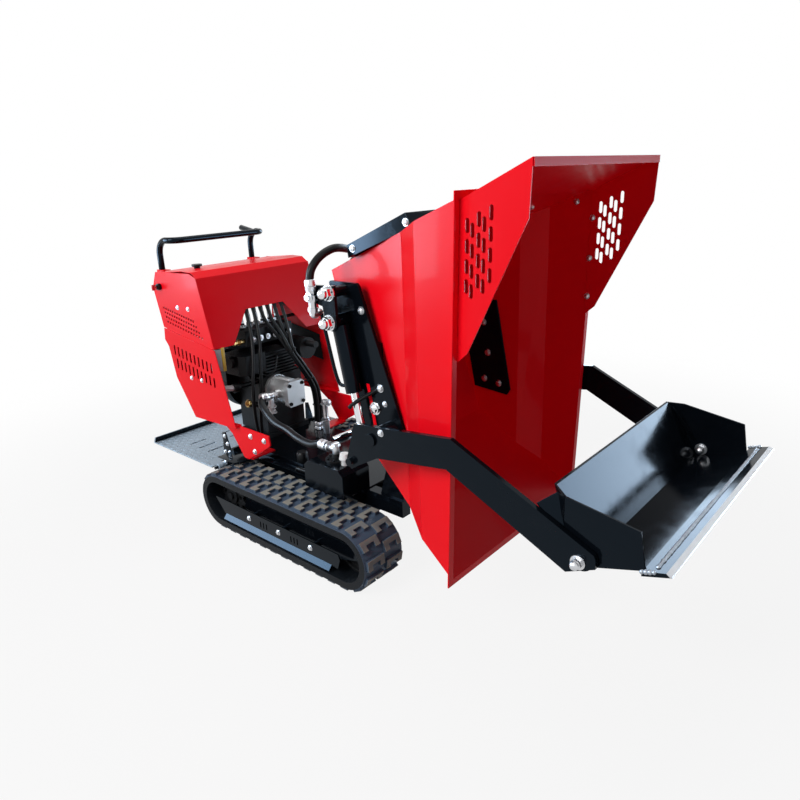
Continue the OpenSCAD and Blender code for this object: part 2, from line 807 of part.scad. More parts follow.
// Folded brackets that carry the console on the deck
module console_bracket() {
    wall = console_half_w - sheet_t;
    face = wall - 22;
    seat_rear = [-640, 394.5];
    seat_front = [-526, 398];
    down = [0, 4];
    plate_y(face, 6) polygon([[-516, deck_z], [-486, deck_z], [-348, 356], [-346, 364], [-350, 394], [-356, 397],
        seat_front, seat_rear, [-581, 357]]);
    plate_y(face + 6, wall - face - 6) polygon([seat_rear - down, seat_front - down, seat_front, seat_rear]);
    box([-530, rail_y + 16, deck_z], [-470, face, deck_z + 5]);
}

module console_brackets() {
    lever_bar = 6;
    color("#c9131a") {
        both_sides() console_bracket();
        rod_y(lever_pin, -console_half_w + sheet_t, console_half_w - sheet_t, lever_bar);
    }
}

// Handlebar: two feet, two legs and a grip, bent from one tube
module handlebar() {
    rise = 58;
    corner = 45;
    bend_x = leg_foot_x + rise;
    grip_z = leg_foot_z + bar_rise;
    stub_from = [leg_foot_x + 35, grip_z - 5];
    stub_to = [leg_foot_x - 57, grip_z + 12];
    stub = stub_to - stub_from;
    color("#141416") {
        both_sides() {
            translate([leg_foot_x, bar_leg_y, leg_foot_z - 60]) cylinder(r = bar_r, h = 60 + bar_rise - rise);
            translate([bend_x, bar_leg_y, grip_z - rise]) rotate([90, 0, 0])
                rotate_extrude(angle = 90, start = 90, $fn = 48) translate([rise, 0]) circle(bar_r);
            translate([bend_x + 2, bar_leg_y - corner, grip_z]) rotate_extrude(angle = 90, start = 0, $fn = 48)
                translate([corner, 0]) circle(bar_r);
            rod_x(bar_leg_y, grip_z, bend_x, bend_x + 2, bar_r);
            rod_y([bend_x + 2 + corner, grip_z], 0, bar_leg_y - corner, bar_r);
        }
        translate([stub_from[0], bar_leg_y, stub_from[1]]) rotate([0, atan2(stub[0], stub[1]), 0]) difference() {
            cylinder(r = bar_r - 0.5, h = norm(stub));
            translate([0, 0, norm(stub) - 22]) cylinder(r = bar_r - 3, h = 30);
        }
    }
}

module isolator_body() {
    at = [-929, 912];
    color("#17181a") on_side(-1) {
        rod_y(at, console_half_w, console_half_w + 12, 13);
        rod_y(at, console_half_w + 12, console_half_w + 18, 9);
    }
}

module isolator_key() {
    at = [-929, 912];
    color("#b3141a") on_side(-1) {
        rod_y(at, console_half_w + 18 + 0.3, console_half_w + 28, 5);
        plate_y(console_half_w + 23, 13) translate(at - [3, 11]) square([6, 22]);
    }
}

// Platform

module platform_plate() {
    half = platform_half_w;
    top = platform_z + 6;
    lip_h = 26;
    color("#a9adb2") difference() {
        union() {
            box([platform_rear + 4, -half, top - platform_t], [platform_pin_x - 12, half, top]);
            plate_y(-half, 2 * half) polygon([[platform_rear, top - platform_t], [platform_rear + 8, top - platform_t],
                [platform_rear + 22, top + lip_h], [platform_rear + 16, top + lip_h]]);
            both_sides() plate_y(half - 60, 40) difference() {
                union() {
                    spot([platform_pin_x, platform_z], 12);
                    translate([platform_pin_x - 14, platform_z - 4]) square([14, 10]);
                }
                spot([platform_pin_x, platform_z], 6 + fit);
            }
        }
        both_sides() box([platform_pin_x - 34, half - 76, top - 20], [platform_pin_x, half - 60, top + 20]);
        for (x = [166, 236, 306]) for (y = [-163, 0, 163]) translate([platform_rear + x, y, top])
            cube([9, 84, 60], center = true);
    }
}

module platform_hinge() {
    half = platform_half_w;
    color("#1a1b1d") both_sides() {
        rod_y([platform_pin_x, platform_z], half - 74, half - 6, 6);
        plate_y(half - 74, 12) polygon([[platform_pin_x - 16, platform_z - 16], [platform_pin_x + 36, platform_z - 16],
            [rail_back - 10, platform_z + 27], [rail_back - 10, platform_z + 80], [rail_back - 24, platform_z + 80],
            [platform_pin_x - 16, platform_z + 18]]);
        box([rail_back - 10, rail_y, rail_z + 10], [rail_back, half - 62, rail_top]);
    }
}

// Hoses

module chassis_hoses() {
    arch = [[valve_x, valve_z + 83.2], [-684, 790], [-688, 830], [-682, 856], [-667, 864], [-654, 852], [-651, 828]];
    drop = deck_z + 1.2;
    color("#121314") {
        for (k = [0:1]) let (y = valve_ys[k], s = 20 * k)
            tube(concat([for (p = arch) [p[0], y, p[1]]], [[-640, y, 800], [-618, y - 8, 750], [-590, y - 24, 690],
                [-570, y - 44, 620], [-560, -152 + 2 * s, 548], [-564, -156 + 1.7 * s, 470], [-573, -150 + 1.4 * s, 400],
                [-580, -140 + s, 330], [-580, -136 + s, drop]]), 7);
        for (k = [2:5]) let (y = valve_ys[k], a = 17 * (k % 2), b = 17 * floor(k / 2 - 1))
            tube(concat([for (p = arch) [p[0], y, p[1]]], [[-640, y, 800], [-617, 4 + 0.9 * y, 752],
                [-586 + a / 2, 22 + 0.5 * y, 694], [-558 + a, 36 + b, 634], [-542 + a, 80 + b, 550], [-528 + a, 118 + b, 470],
                [-522 + a, 127 + b, 400], [-516 + a, 122 + b, 330], [-514 + a, 115 + b, drop]]), 7);
        tube([[-508, -126.5, 485], [-508, -146, 485], [-490, -172, 466], [-400, -192, 424], [-320, -196, 410],
            [-240, -208, 396], [-160, -220, 398], [-110, -222, 414], [-74.5, -222, 414]], 14, 10);
    }
}

module lift_hoses() {
    route = [[104, 396, 997], [102, 396, 1026], [102, 388, 1056], [106, 364, 1084], [112, 330, 1103], [110, 286, 1108],
        [86, 205, 1092], [52, 144, 1066], [20, 136, 1044], [18, 142, 1005], [16, 146, 955], [22, 148, 905], [50, 148, 874],
        [87, 148, 884]];
    color("#141516") both_sides() tube(route, 12, 10);
}

// Skip

// Half width of the skip sheet at a place along X
function half_w_at(x) = bend_half_w - wall_slope * (low_bend_x - x);

// Half width of the flared part above the upper bend
function flare_w_at(x) = flare_half_w + (rim_half_w - flare_half_w) * (x - high_bend_x) / (brow_x - high_bend_x);

// Plan of the skip, drawn in by a sheet thickness
module skip_plan(inset) {
    deep = floor_rear[0] - 80;
    far = brow_x + 90;
    side = [[deep, half_w_at(deep) - inset], [low_bend_x, bend_half_w - inset], [high_bend_x, flare_half_w - inset],
        [far, flare_w_at(far) - inset]];
    polygon(concat(side, [for (k = [len(side) - 1:-1:0]) [side[k][0], -side[k][1]]]));
}

// Side outline of the skip, drawn in by a sheet thickness and opened past the rim
module skip_side(inset, past) {
    floor_line = moved(floor_front, floor_rear, -inset);
    front_line = moved(lip, floor_front, -inset);
    rear_line = moved(floor_rear, brow, -inset);
    polygon([meet(front_line, floor_line), line_at(front_line, lip_x + past), line_at(rear_line, brow_x + past),
        meet(rear_line, floor_line)]);
}

module skip_solid(inset, past) {
    intersection() {
        plate_y(-rim_half_w - 60, 2 * rim_half_w + 120) skip_side(inset, past);
        linear_extrude(brow_z + 120) skip_plan(inset);
    }
}

module skip_tub() {
    rim_up = (brow - lip) / norm(brow - lip);
    rim_out = [rim_up[1], -rim_up[0]];
    outer = rim_half_w + flange_w;
    a = lip - rim_up * flange_w;
    b = brow + rim_up * flange_w;
    color("#e0161c") difference() {
        union() {
            skip_solid(0, 0);
            plate_y(-outer, 2 * outer) polygon([a - rim_out * skip_t, a, b, b - rim_out * skip_t]);
        }
        skip_solid(skip_t, 60);
    }
}

// Rows of upright slots, staggered from column to column
module slot_field(at, cols, rows) {
    pitch_x = slot_w + 8;
    pitch_z = slot_len + 12;
    for (c = [0:cols - 1]) for (r = [0:rows - 1])
        translate(at + [c * pitch_x, r * pitch_z + (c % 2) * pitch_z / 2 + c * 6]) {
            square([slot_w, slot_len - slot_w]);
            spot([slot_w / 2, 0], slot_w / 2);
            spot([slot_w / 2, slot_len - slot_w], slot_w / 2);
        }
}

// Spill guard: two sides and a brow, bolted inside the rear of the rim
module spill_guard() {
    half = flare_w_at(brow_x - 15) - skip_t - 0.3;
    thick = 3;
    top_edge = [brow_x + guard_reach, overall_height];
    lip_drop = 20;
    root = brow - [10, 9.6];
    color("#d8151b") {
        both_sides() plate_y(half - thick, thick) difference() {
            polygon([root, top_edge - [2, 0], top_edge - [8, 126], [brow_x + 18, 878], [brow_x - 12, 852], [brow_x - 15, 880]]);
            slot_field([brow_x + 18, 968], slot_cols, slot_rows);
        }
        difference() {
            plate_y(thick - half, 2 * half - 2 * thick) polygon([root, top_edge, top_edge - [0, lip_drop],
                top_edge - [thick, lip_drop], top_edge - [thick, thick + 1], root - [0, thick]]);
            for (k = [-3:3]) translate([brow_x + 110 + 8 * (k % 2), k * 34 - slot_w / 2, brow_z - 40]) cube([slot_len, slot_w, 200]);
        }
    }
}

// Lugs under the floor: two for the hinge and two for the tip cylinder's head
module skip_lugs() {
    near = floor_front + 26 * floor_dir;
    far = floor_front + 200 * floor_dir;
    head_low = floor_front + 285 * floor_dir;
    head_high = floor_front + 395 * floor_dir;
    color("#1b1c1e") both_sides() {
        plate_y(hinge_lug_y, hinge_lug_t) difference() {
            union() {
                polygon([[tip_x + 4, tip_z], near, far, [tip_x - hinge_boss_r, tip_z]]);
                spot([tip_x, tip_z], hinge_boss_r);
            }
            spot([tip_x, tip_z], shaft_r + fit);
        }
        plate_y(tip_eye_w / 2 + gap, tip_cheek_t) {
            polygon([tip_head + [-12, -16], head_low, head_high, tip_head + [-12, 16]]);
            spot(tip_head, tip_eye_r);
        }
    }
}

// Side frame that holds a lift cylinder and an arm pivot
module lift_frame() {
    arm_side = arm_y - 3;
    plate_y(frame_y, frame_t) difference() {
        union() {
            polygon([[95, 1011], [100, 1016], [206, 1016], [214, 1008], arm_pivot + [38, 18], arm_pivot + [-20, -38],
                arm_pivot + [-110, -20], [140, 830]]);
            spot(arm_pivot, 42);
        }
        spot(arm_pivot, arm_pin_r + fit);
    }
    plate_y(outer_plate_y, frame_t) polygon([[82, 990], [96, 1012], [182, 1016], [186, 900], [172, 884], [144, 886],
        [132, 954], [90, 962]]);
    difference() {
        rod_y(arm_pivot, frame_y + frame_t, arm_side, boss_r);
        rod_y(arm_pivot, frame_y, arm_side + 1, arm_pin_r + fit);
    }
    rod_y(spacer_pin, frame_y + frame_t, outer_plate_y, 15);
    rod_y(lift_top, frame_y + frame_t, outer_plate_y, lift_pin_r);
    for (z = pad_zs) translate([0, 0, z]) linear_extrude(56)
        polygon([[215, half_w_at(215)], [275, half_w_at(275)], [275, frame_y], [215, frame_y]]);
}

module lift_frames() {
    color("#161719") both_sides() lift_frame();
}

// Arm pivot pins with their keepers, the cylinder's dome nuts and hose ends
module pivot_pins() {
    nut_y = outer_plate_y + frame_t;
    end_y = arm_y + arm_t + gap;
    color("#c3c6c9") both_sides() {
        rod_y(arm_pivot, frame_y + 1, end_y, arm_pin_r);
        rod_y(arm_pivot, end_y, end_y + 5, arm_pin_r + 4);
        for (p = [spacer_pin, lift_top]) {
            rod_y(p, nut_y, nut_y + 8, 17);
            translate([p[0], nut_y + 8, p[1]]) rotate([-90, 0, 0]) rotate_extrude($fn = 32)
                polygon([[0, 0], [13, 0], [12, 5], [9, 9], [5, 12], [0, 13]]);
        }
        rod_y(hose_pin, nut_y, nut_y + 16, 15);
    }
}

// Backing plates on the inside of the side walls
module backing_plate() {
    thick = 6;
    outline = [[212, 560], [336, 540], [348, 560], [292, 880], [150, 880], [190, 680]];
    intersection() {
        linear_extrude(1200) polygon([[100, half_w_at(100) - skip_t], [360, half_w_at(360) - skip_t],
            [360, half_w_at(360) - skip_t - thick], [100, half_w_at(100) - skip_t - thick]]);
        plate_y(200, 120) polygon(outline);
    }
}

module backing_plates() {
    color("#121315") both_sides() backing_plate();
}

// Channel across the outside of the rear wall, closed at its ends
module rear_stiffener() {
    wall = [floor_rear, brow];
    a = line_at(wall, 165);
    b = line_at(wall, 405);
    along_wall = (b - a) / norm(b - a);
    top = moved(a, b, 38);
    roof = moved(a, b, 34);
    under = moved(a, b, -5);
    color("#191a1c") difference() {
        plate_y(-300, 600) polygon([a, b, top[1] - [8, 0], top[0] + [10, 0]]);
        plate_y(-296, 592) polygon([under[0] + 4 * along_wall, under[1] - 4 * along_wall, roof[1] - [14, 0], roof[0] + [16, 0]]);
    }
}

// Shovel

// Outline of a lift arm: a straight tail, a knee and a straight nose
module arm_outline() {
    half = arm_depth / 2;
    tail = moved(arm_pivot + [-60, -8], arm_knee, half);
    tail_low = moved(arm_pivot + [-60, -8], arm_knee, -half);
    nose = moved(arm_knee, arm_end, half);
    nose_low = moved(arm_knee, arm_end, -half);
    polygon([tail[0], meet(tail, nose), nose[1] + [18, -9], arm_end + [41, 20], arm_end + [42, -4],
        arm_end + [-31, -38], meet(tail_low, nose_low), arm_pivot + [20, -52],
        tail_pin + [26, -8], tail_pin + [-2, -26], tail_pin + [-24, -10]]);
}

module arm_plate() {
    plate_y(arm_y, arm_t) difference() {
        arm_outline();
        spot(arm_pivot, arm_pin_r + fit);
    }
    rod_y(tail_pin, lift_y + lift_eye_w / 2 + gap, arm_y, 15);
    rod_y(tail_pin, arm_y + arm_t, arm_y + arm_t + 14, 12);
}

module arm_plates() {
    color("#1a1b1d") both_sides() arm_plate();
}

// Plan of the shovel pan, drawn in by a sheet thickness
module pan_plan(inset) {
    back = [pan_back[0] - 40, pan_half_w - 62 - inset];
    shoulder = [pan_back[0] + 46, pan_half_w - inset];
    front = [pan_toe[0] + 200, pan_half_w - inset];
    polygon([back, shoulder, front, [front[0], -front[1]], [shoulder[0], -shoulder[1]], [back[0], -back[1]]]);
}

// Bent ear behind a side wall, between the pan's top corner and the arm
module pan_ear() {
    inner = pan_half_w - 26;
    top = [pan_back[0] + 16, inner, pan_back[1] - 12];
    tip = [ear_tip[0], pan_half_w - 5, ear_tip[1]];
    low = [ear_tip[0] + 62, pan_half_w - 5, ear_tip[1] - 78];
    foot = [ear_foot[0] - 30, pan_half_w - 5, ear_foot[1]];
    out = [0, 5, 0];
    polyhedron([top, tip, low, foot, top + out, tip + out, low + out, foot + out],
        [[0, 3, 1], [1, 3, 2], [4, 5, 7], [5, 6, 7], [0, 1, 5, 4], [1, 2, 6, 5], [2, 3, 7, 6], [3, 0, 4, 7]]);
}

module shovel_pan() {
    back_line = moved(pan_back, pan_heel, pan_t);
    floor_line = moved(pan_heel, pan_toe, pan_t);
    heel_in = meet(back_line, floor_line);
    back_in = back_line[0] + 200 * (pan_back - pan_heel) / norm(pan_back - pan_heel);
    toe_in = floor_line[1] + 200 * edge_dir;
    color("#131416") difference() {
        intersection() {
            plate_y(-pan_half_w - 20, 2 * pan_half_w + 40) polygon([pan_back, pan_heel, pan_toe, pan_peak]);
            linear_extrude(800) pan_plan(0);
        }
        intersection() {
            plate_y(-pan_half_w, 2 * pan_half_w) polygon([back_in, heel_in, toe_in, toe_in + [0, 300], back_in + [300, 200]]);
            linear_extrude(1200) pan_plan(pan_t);
        }
    }
    color("#131416") both_sides() {
        rod_y(arm_end, pan_half_w, arm_y, 30);
        pan_ear();
    }
}

module cutting_edge() {
    foot = pan_toe;
    tip = foot + (edge_len - 9) * edge_dir;
    up = [-edge_dir[1], edge_dir[0]];
    color("#8f949a") plate_y(-edge_half_w, 2 * edge_half_w)
        polygon([foot, foot + [0, edge_t], tip + up * edge_t * 0.8, tip + 9 * edge_dir + up * 2, tip + 9 * edge_dir]);
}

// Cylinders

// Draws along a leaning axis in the XZ plane, with +Z along the axis
module leaning(at, y, lean) {
    translate([at[0], y, at[1]]) rotate([0, lean, 0]) children();
}

module lift_barrels() {
    eye_r = 20;
    eye_w = 2 * (lift_y - frame_y - frame_t) - 4;
    color("#141517") both_sides() difference() {
        union() {
            rod_y(lift_top, lift_y - eye_w / 2, lift_y + eye_w / 2, eye_r);
            leaning(lift_top, lift_y, 180 - lift_lean) translate([0, 0, 14]) cylinder(r = lift_barrel_r, h = lift_barrel_len - 14);
        }
        rod_y(lift_top, lift_y - 60, lift_y + 60, lift_pin_r + fit);
        leaning(lift_top, lift_y, 180 - lift_lean) translate([0, 0, 34]) cylinder(r = lift_rod_r + fit, h = lift_barrel_len);
    }
}

module lift_rods() {
    color("#d5d8da") both_sides() {
        leaning(lift_top, lift_y, 180 - lift_lean) translate([0, 0, lift_rod_start])
            cylinder(r = lift_rod_r, h = lift_len - lift_rod_start - lift_eye_r / 2);
        rod_y(tail_pin, lift_y - lift_eye_w / 2, lift_y + lift_eye_w / 2, lift_eye_r);
    }
}

module tip_barrel() {
    color("#151618") difference() {
        union() {
            rod_y(tip_foot, -tip_eye_w / 2, tip_eye_w / 2, tip_eye_r + 2);
            leaning(tip_foot, 0, tip_lean) translate([0, 0, 28]) cylinder(r = tip_barrel_r, h = tip_barrel_len - 28);
            leaning(tip_foot, 0, tip_lean) translate([0, 0, 14]) cylinder(r = tip_eye_w / 2 - 1, h = 20);
        }
        rod_y(tip_foot, -60, 60, tip_pin_r + fit);
        leaning(tip_foot, 0, tip_lean) translate([0, 0, 45]) cylinder(r = tip_rod_r + fit, h = tip_barrel_len);
    }
}

module tip_rod() {
    color("#d2d5d8") {
        leaning(tip_foot, 0, tip_lean) translate([0, 0, tip_rod_start])
            cylinder(r = tip_rod_r, h = tip_len - tip_rod_start - tip_eye_r / 2);
        rod_y(tip_head, -tip_eye_w / 2, tip_eye_w / 2, tip_eye_r);
    }
}

chassis_frame();
track_frames();
track_guards();
track_belt_right();
track_belt_left();
sprocket_right();
sprocket_left();
idler_right();
idler_left();
roller_right_rear();
roller_right_middle();
roller_right_front();
roller_left_rear();
roller_left_middle();
roller_left_front();
drive_motors();
hydraulic_tank();
tank_cover();
breather_cap();
engine_block();
engine_shroud();
fuel_tank();
muffler();
air_cleaner();
gear_pump();
hydraulic_fittings();
control_valve();
drive_lever_right();
drive_lever_left();
tip_lever();
shovel_lever();
stop_button();
upper_panels();
lower_panels();
front_cover();
console_top();
console_brackets();
handlebar();
isolator_body();
isolator_key();
platform_plate();
platform_hinge();
bumpers();
chassis_hoses();
lift_hoses();
skip_shaft();
skip_tub();
spill_guard();
skip_lugs();
lift_frames();
pivot_pins();
backing_plates();
rear_stiffener();
arm_plates();
shovel_pan();
cutting_edge();
lift_barrels();
lift_rods();
tip_barrel();
tip_rod();
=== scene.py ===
"""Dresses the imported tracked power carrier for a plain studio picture.

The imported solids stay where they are, apart from the hoses and the spill guard, which finer pieces replace.
Each gets a procedural finish, and fasteners, weld beads, tread ribs and engine trim are added round them.
Places are vectors in metres. Sizes, such as radii and profiles, are in millimetres unless they say otherwise.
"""

from __future__ import annotations

import json
import logging
import math
from dataclasses import dataclass, field
from enum import Enum
from typing import Any, Iterable, Sequence

import bmesh
import bpy
from mathutils import Matrix, Vector

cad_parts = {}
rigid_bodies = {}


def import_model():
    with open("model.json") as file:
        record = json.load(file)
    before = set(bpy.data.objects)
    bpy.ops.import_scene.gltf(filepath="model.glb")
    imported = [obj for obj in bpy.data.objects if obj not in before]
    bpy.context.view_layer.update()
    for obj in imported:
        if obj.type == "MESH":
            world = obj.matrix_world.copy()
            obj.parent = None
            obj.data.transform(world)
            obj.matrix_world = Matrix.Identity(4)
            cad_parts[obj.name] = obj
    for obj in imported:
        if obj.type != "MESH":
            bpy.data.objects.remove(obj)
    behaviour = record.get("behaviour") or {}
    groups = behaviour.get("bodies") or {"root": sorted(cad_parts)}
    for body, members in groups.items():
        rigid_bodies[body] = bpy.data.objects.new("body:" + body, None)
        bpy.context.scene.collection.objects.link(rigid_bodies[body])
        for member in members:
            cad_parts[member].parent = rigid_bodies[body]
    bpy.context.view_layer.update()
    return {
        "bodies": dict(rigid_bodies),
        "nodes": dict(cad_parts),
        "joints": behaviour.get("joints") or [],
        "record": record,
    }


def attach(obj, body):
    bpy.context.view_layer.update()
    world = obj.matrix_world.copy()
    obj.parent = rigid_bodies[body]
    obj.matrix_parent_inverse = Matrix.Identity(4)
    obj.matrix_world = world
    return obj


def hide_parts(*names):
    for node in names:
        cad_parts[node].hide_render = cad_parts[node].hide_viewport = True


LOG = logging.getLogger("carrier")
MM = 0.001
PORTS = (-90.0, -54.0, -18.0, 18.0, 54.0, 90.0)
UP, FORE, RIGHT = Vector((0, 0, 1)), Vector((1, 0, 0)), Vector((0, -1, 0))

BMesh = bmesh.types.BMesh
Socket = bpy.types.NodeSocket
Tree = bpy.types.NodeTree
Pair = tuple[float, float]
Triple = tuple[float, float, float]
Outline = tuple[Pair, ...]
Route = tuple[Triple, ...]
Spot = tuple[Vector, Vector, float]
Stage = tuple[float, int, Outline]


def mm(x: float, y: float, z: float) -> Vector:
    """Returns a point given in millimetres as a vector in metres."""
    return Vector((x * MM, y * MM, z * MM))


class Body(Enum):
    """Rigid bodies that the added pieces ride on."""

    CHASSIS = "chassis"
    SKIP = "skip"
    SHOVEL = "shovel"
    PLATFORM = "platform"
    LIFT_TUBES = "lift_tubes"


class Side(Enum):
    """Sides of the machine, as the sign of Y."""

    RIGHT = -1
    LEFT = 1

    @property
    def out(self) -> Vector:
        """Returns the direction away from the machine's middle."""
        return Vector((0, self.value, 0))

    def at(self, x: float, y: float, z: float) -> Vector:
        """Returns a point on this side, from millimetres, with Y counted from the middle."""
        return mm(x, self.value * y, z)


# Node trees


class NodeWeaver:
    """Adds and links nodes in one tree."""

    def __init__(self, tree: Tree) -> None:
        """Keeps the tree that nodes are added to."""
        self.tree = tree

    def link(self, source: Socket, target: Socket) -> None:
        """Links an output socket to an input socket."""
        self.tree.links.new(source, target)

    def add(self, kind: str, feeds: dict[Any, Any] | None = None, **settings: Any) -> bpy.types.Node:
        """Adds a node, sets its properties and feeds its inputs.

        Args:
            kind: Blender's name of the node type.
            feeds: a socket to link or a plain value for each input, by the input's name or place.
            **settings: properties of the node.

        Returns:
            The new node.
        """
        node = self.tree.nodes.new(kind)
        for key, value in settings.items():
            setattr(node, key, value)
        for key, value in (feeds or {}).items():
            if isinstance(value, Socket):
                self.link(value, node.inputs[key])
            else:
                node.inputs[key].default_value = value
        return node

    def math(self, operation: str, *feeds: Any, clamp: bool = False) -> Socket:
        """Adds a math node and returns its result."""
        return self.add("ShaderNodeMath", dict(enumerate(feeds)), operation=operation, use_clamp=clamp).outputs[0]

    def span(self, value: Socket, low: Any, high: Any, kind: str = "LINEAR") -> Socket:
        """Adds a clamped rise from 0 at the low value to 1 at the high one, and returns its result."""
        feeds = {"Value": value, "From Min": low, "From Max": high}
        return self.add("ShaderNodeMapRange", feeds, clamp=True, interpolation_type=kind).outputs["Result"]

    def length(self, vector: Socket) -> Socket:
        """Adds a measure of a vector's length and returns its result."""
        return self.add("ShaderNodeVectorMath", {0: vector}, operation="LENGTH").outputs["Value"]

    def tint(self, share: Socket, below: Socket, colour: Triple) -> Socket:
        """Adds a mix of a plain colour over another one and returns its result."""
        feeds = {"Factor": share, "A": below, "B": (*colour, 1.0)}
        return self.add("ShaderNodeMix", feeds, data_type="RGBA").outputs["Result"]

    def blend(self, share: Socket, first: Socket, second: Socket) -> Socket:
        """Adds a mix of two shaders and returns its result."""
        return self.add("ShaderNodeMixShader", {"Fac": share, 1: first, 2: second}).outputs[0]

    def attribute(self, name: str, kind: str) -> Socket:
        """Adds a named attribute of the seed and returns its value."""
        return self.add("GeometryNodeInputNamedAttribute", {"Name": name}, data_type=kind).outputs["Attribute"]


def blank_nodes(owner: bpy.types.Material | bpy.types.World) -> NodeWeaver:
    """Clears a material's or world's nodes and returns a weaver for them."""
    owner.use_nodes = True
    owner.node_tree.nodes.clear()
    return NodeWeaver(owner.node_tree)


def new_group(kind: str, name: str, inputs: dict[str, Any],
              outputs: dict[str, str]) -> tuple[Tree, NodeWeaver, Any, Any]:
    """Makes a node group with its sockets.

    Args:
        kind: Blender's name of the tree type.
        name: the group's name.
        inputs: a number, a colour or the word for a socket type, by the input's name.
        outputs: the word for a socket type, by the output's name.

    Returns:
        The tree, its weaver, and the sockets of its input and output nodes.
    """
    tree = bpy.data.node_groups.new(name, kind)
    for label, default in inputs.items():
        word = default if isinstance(default, str) else "Float" if isinstance(default, float) else "Color"
        socket = tree.interface.new_socket(name=label, in_out="INPUT", socket_type=f"NodeSocket{word}")
        if default != word:
            socket.default_value = default
    for label, word in outputs.items():
        tree.interface.new_socket(name=label, in_out="OUTPUT", socket_type=f"NodeSocket{word}")
    w = NodeWeaver(tree)
    return tree, w, w.add("NodeGroupInput").outputs, w.add("NodeGroupOutput").inputs


class ShaderGroups:
    """Builds each shared shader effect once."""

    def __init__(self) -> None:
        """Makes the shared groups."""
        self.mottle = self._mottle()
        self.grain = self._grain()
        self.dust_and_sheen = self._dust_and_sheen()
        self.lugs = self._lugs()

    @staticmethod
    def _start(name: str, inputs: dict[str, Any], outputs: dict[str, str]) -> tuple[Tree, NodeWeaver, Any, Any]:
        """Makes a shader group that reads object coordinates."""
        return new_group("ShaderNodeTree", name, {"Vector": "Vector", **inputs}, outputs)

    def _mottle(self) -> Tree:
        """Returns a group that varies a colour slowly over the surface."""
        inputs = {"Colour": (0.5, 0.5, 0.5, 1.0), "Scale": 6.0, "Depth": 0.1}
        tree, w, ins, outs = self._start("slow_mottle", inputs, {"Colour": "Color"})
        noise = w.add("ShaderNodeTexNoise", {"Vector": ins["Vector"], "Scale": ins["Scale"], "Detail": 4.0})
        swing = w.math("MULTIPLY", w.math("SUBTRACT", noise.outputs["Fac"], 0.5), ins["Depth"])
        feeds = {0: ins["Colour"], "Scale": w.math("ADD", swing, 1.0)}
        w.link(w.add("ShaderNodeVectorMath", feeds, operation="SCALE").outputs[0], outs["Colour"])
        return tree

    def _grain(self) -> Tree:
        """Returns a group that gives the height of a fine skin, such as orange peel or moulding."""
        tree, w, ins, outs = self._start("fine_skin", {"Scale": 300.0, "Detail": 2.0}, {"Height": "Float"})
        noise = w.add("ShaderNodeTexNoise", {label: ins[label] for label in ("Vector", "Scale", "Detail")})
        w.link(noise.outputs["Fac"], outs["Height"])
        return tree

    def _dust_and_sheen(self) -> Tree:
        """Returns a group that masks noise patches between two levels: dust and wear on most finishes, and painted sky
        glints on the tread plate.
        """
        inputs = {"Scale": 20.0, "Low": 0.5, "High": 0.8, "Amount": 0.3}
        tree, w, ins, outs = self._start("patchy_dust", inputs, {"Mask": "Float"})
        feeds = {"Vector": ins["Vector"], "Scale": ins["Scale"], "Detail": 8.0, "Roughness": 0.65}
        patches = w.span(w.add("ShaderNodeTexNoise", feeds).outputs["Fac"], ins["Low"], ins["High"])
        w.link(w.math("MULTIPLY", patches, ins["Amount"]), outs["Mask"])
        return tree

    def _lugs(self) -> Tree:
        """Returns a group that masks what stands out from a belt, by its distance from the wheels' centre line."""
        inputs = {"Rear": -0.5, "Front": 0.5, "Centre": 0.1, "Low": 0.11, "High": 0.12}
        tree, w, ins, outs = self._start("lug_tops", inputs, {"Mask": "Float"})
        here = w.add("ShaderNodeSeparateXYZ", {0: ins["Vector"]}).outputs
        nearest = w.add("ShaderNodeClamp", {"Value": here["X"], "Min": ins["Rear"], "Max": ins["Front"]})
        along, up = w.math("SUBTRACT", here["X"], nearest.outputs[0]), w.math("SUBTRACT", here["Z"], ins["Centre"])
        reach = w.length(w.add("ShaderNodeCombineXYZ", {"X": along, "Z": up}).outputs[0])
        w.link(w.span(reach, ins["Low"], ins["High"]), outs["Mask"])
        return tree


# Finishes


@dataclass(frozen=True)
class BeltLayer:
    """A tint that starts at one distance from a belt's centre line and is full at another, in metres."""

    low: float
    high: float
    tint: Triple
    dulling: float = 0.0


@dataclass(frozen=True)
class BeltLoop:
    """The loop that a track belt runs on, in metres, with its outer surface's bluish tint, which is a painted sky
    reflection, and its lug tops' worn tint.
    """

    rear: float = -0.548
    front: float = 0.138
    centre: float = 0.117
    # First layer: painted sky reflection, a bluish tint over the belt's outer surface. Second layer: the lug tops'
    # paler, duller worn rubber.
    layers: tuple[BeltLayer, ...] = (BeltLayer(0.1036, 0.1046, (0.062, 0.09, 0.135)),
                                     BeltLayer(0.1132, 0.1165, (0.22, 0.215, 0.19), 0.3))


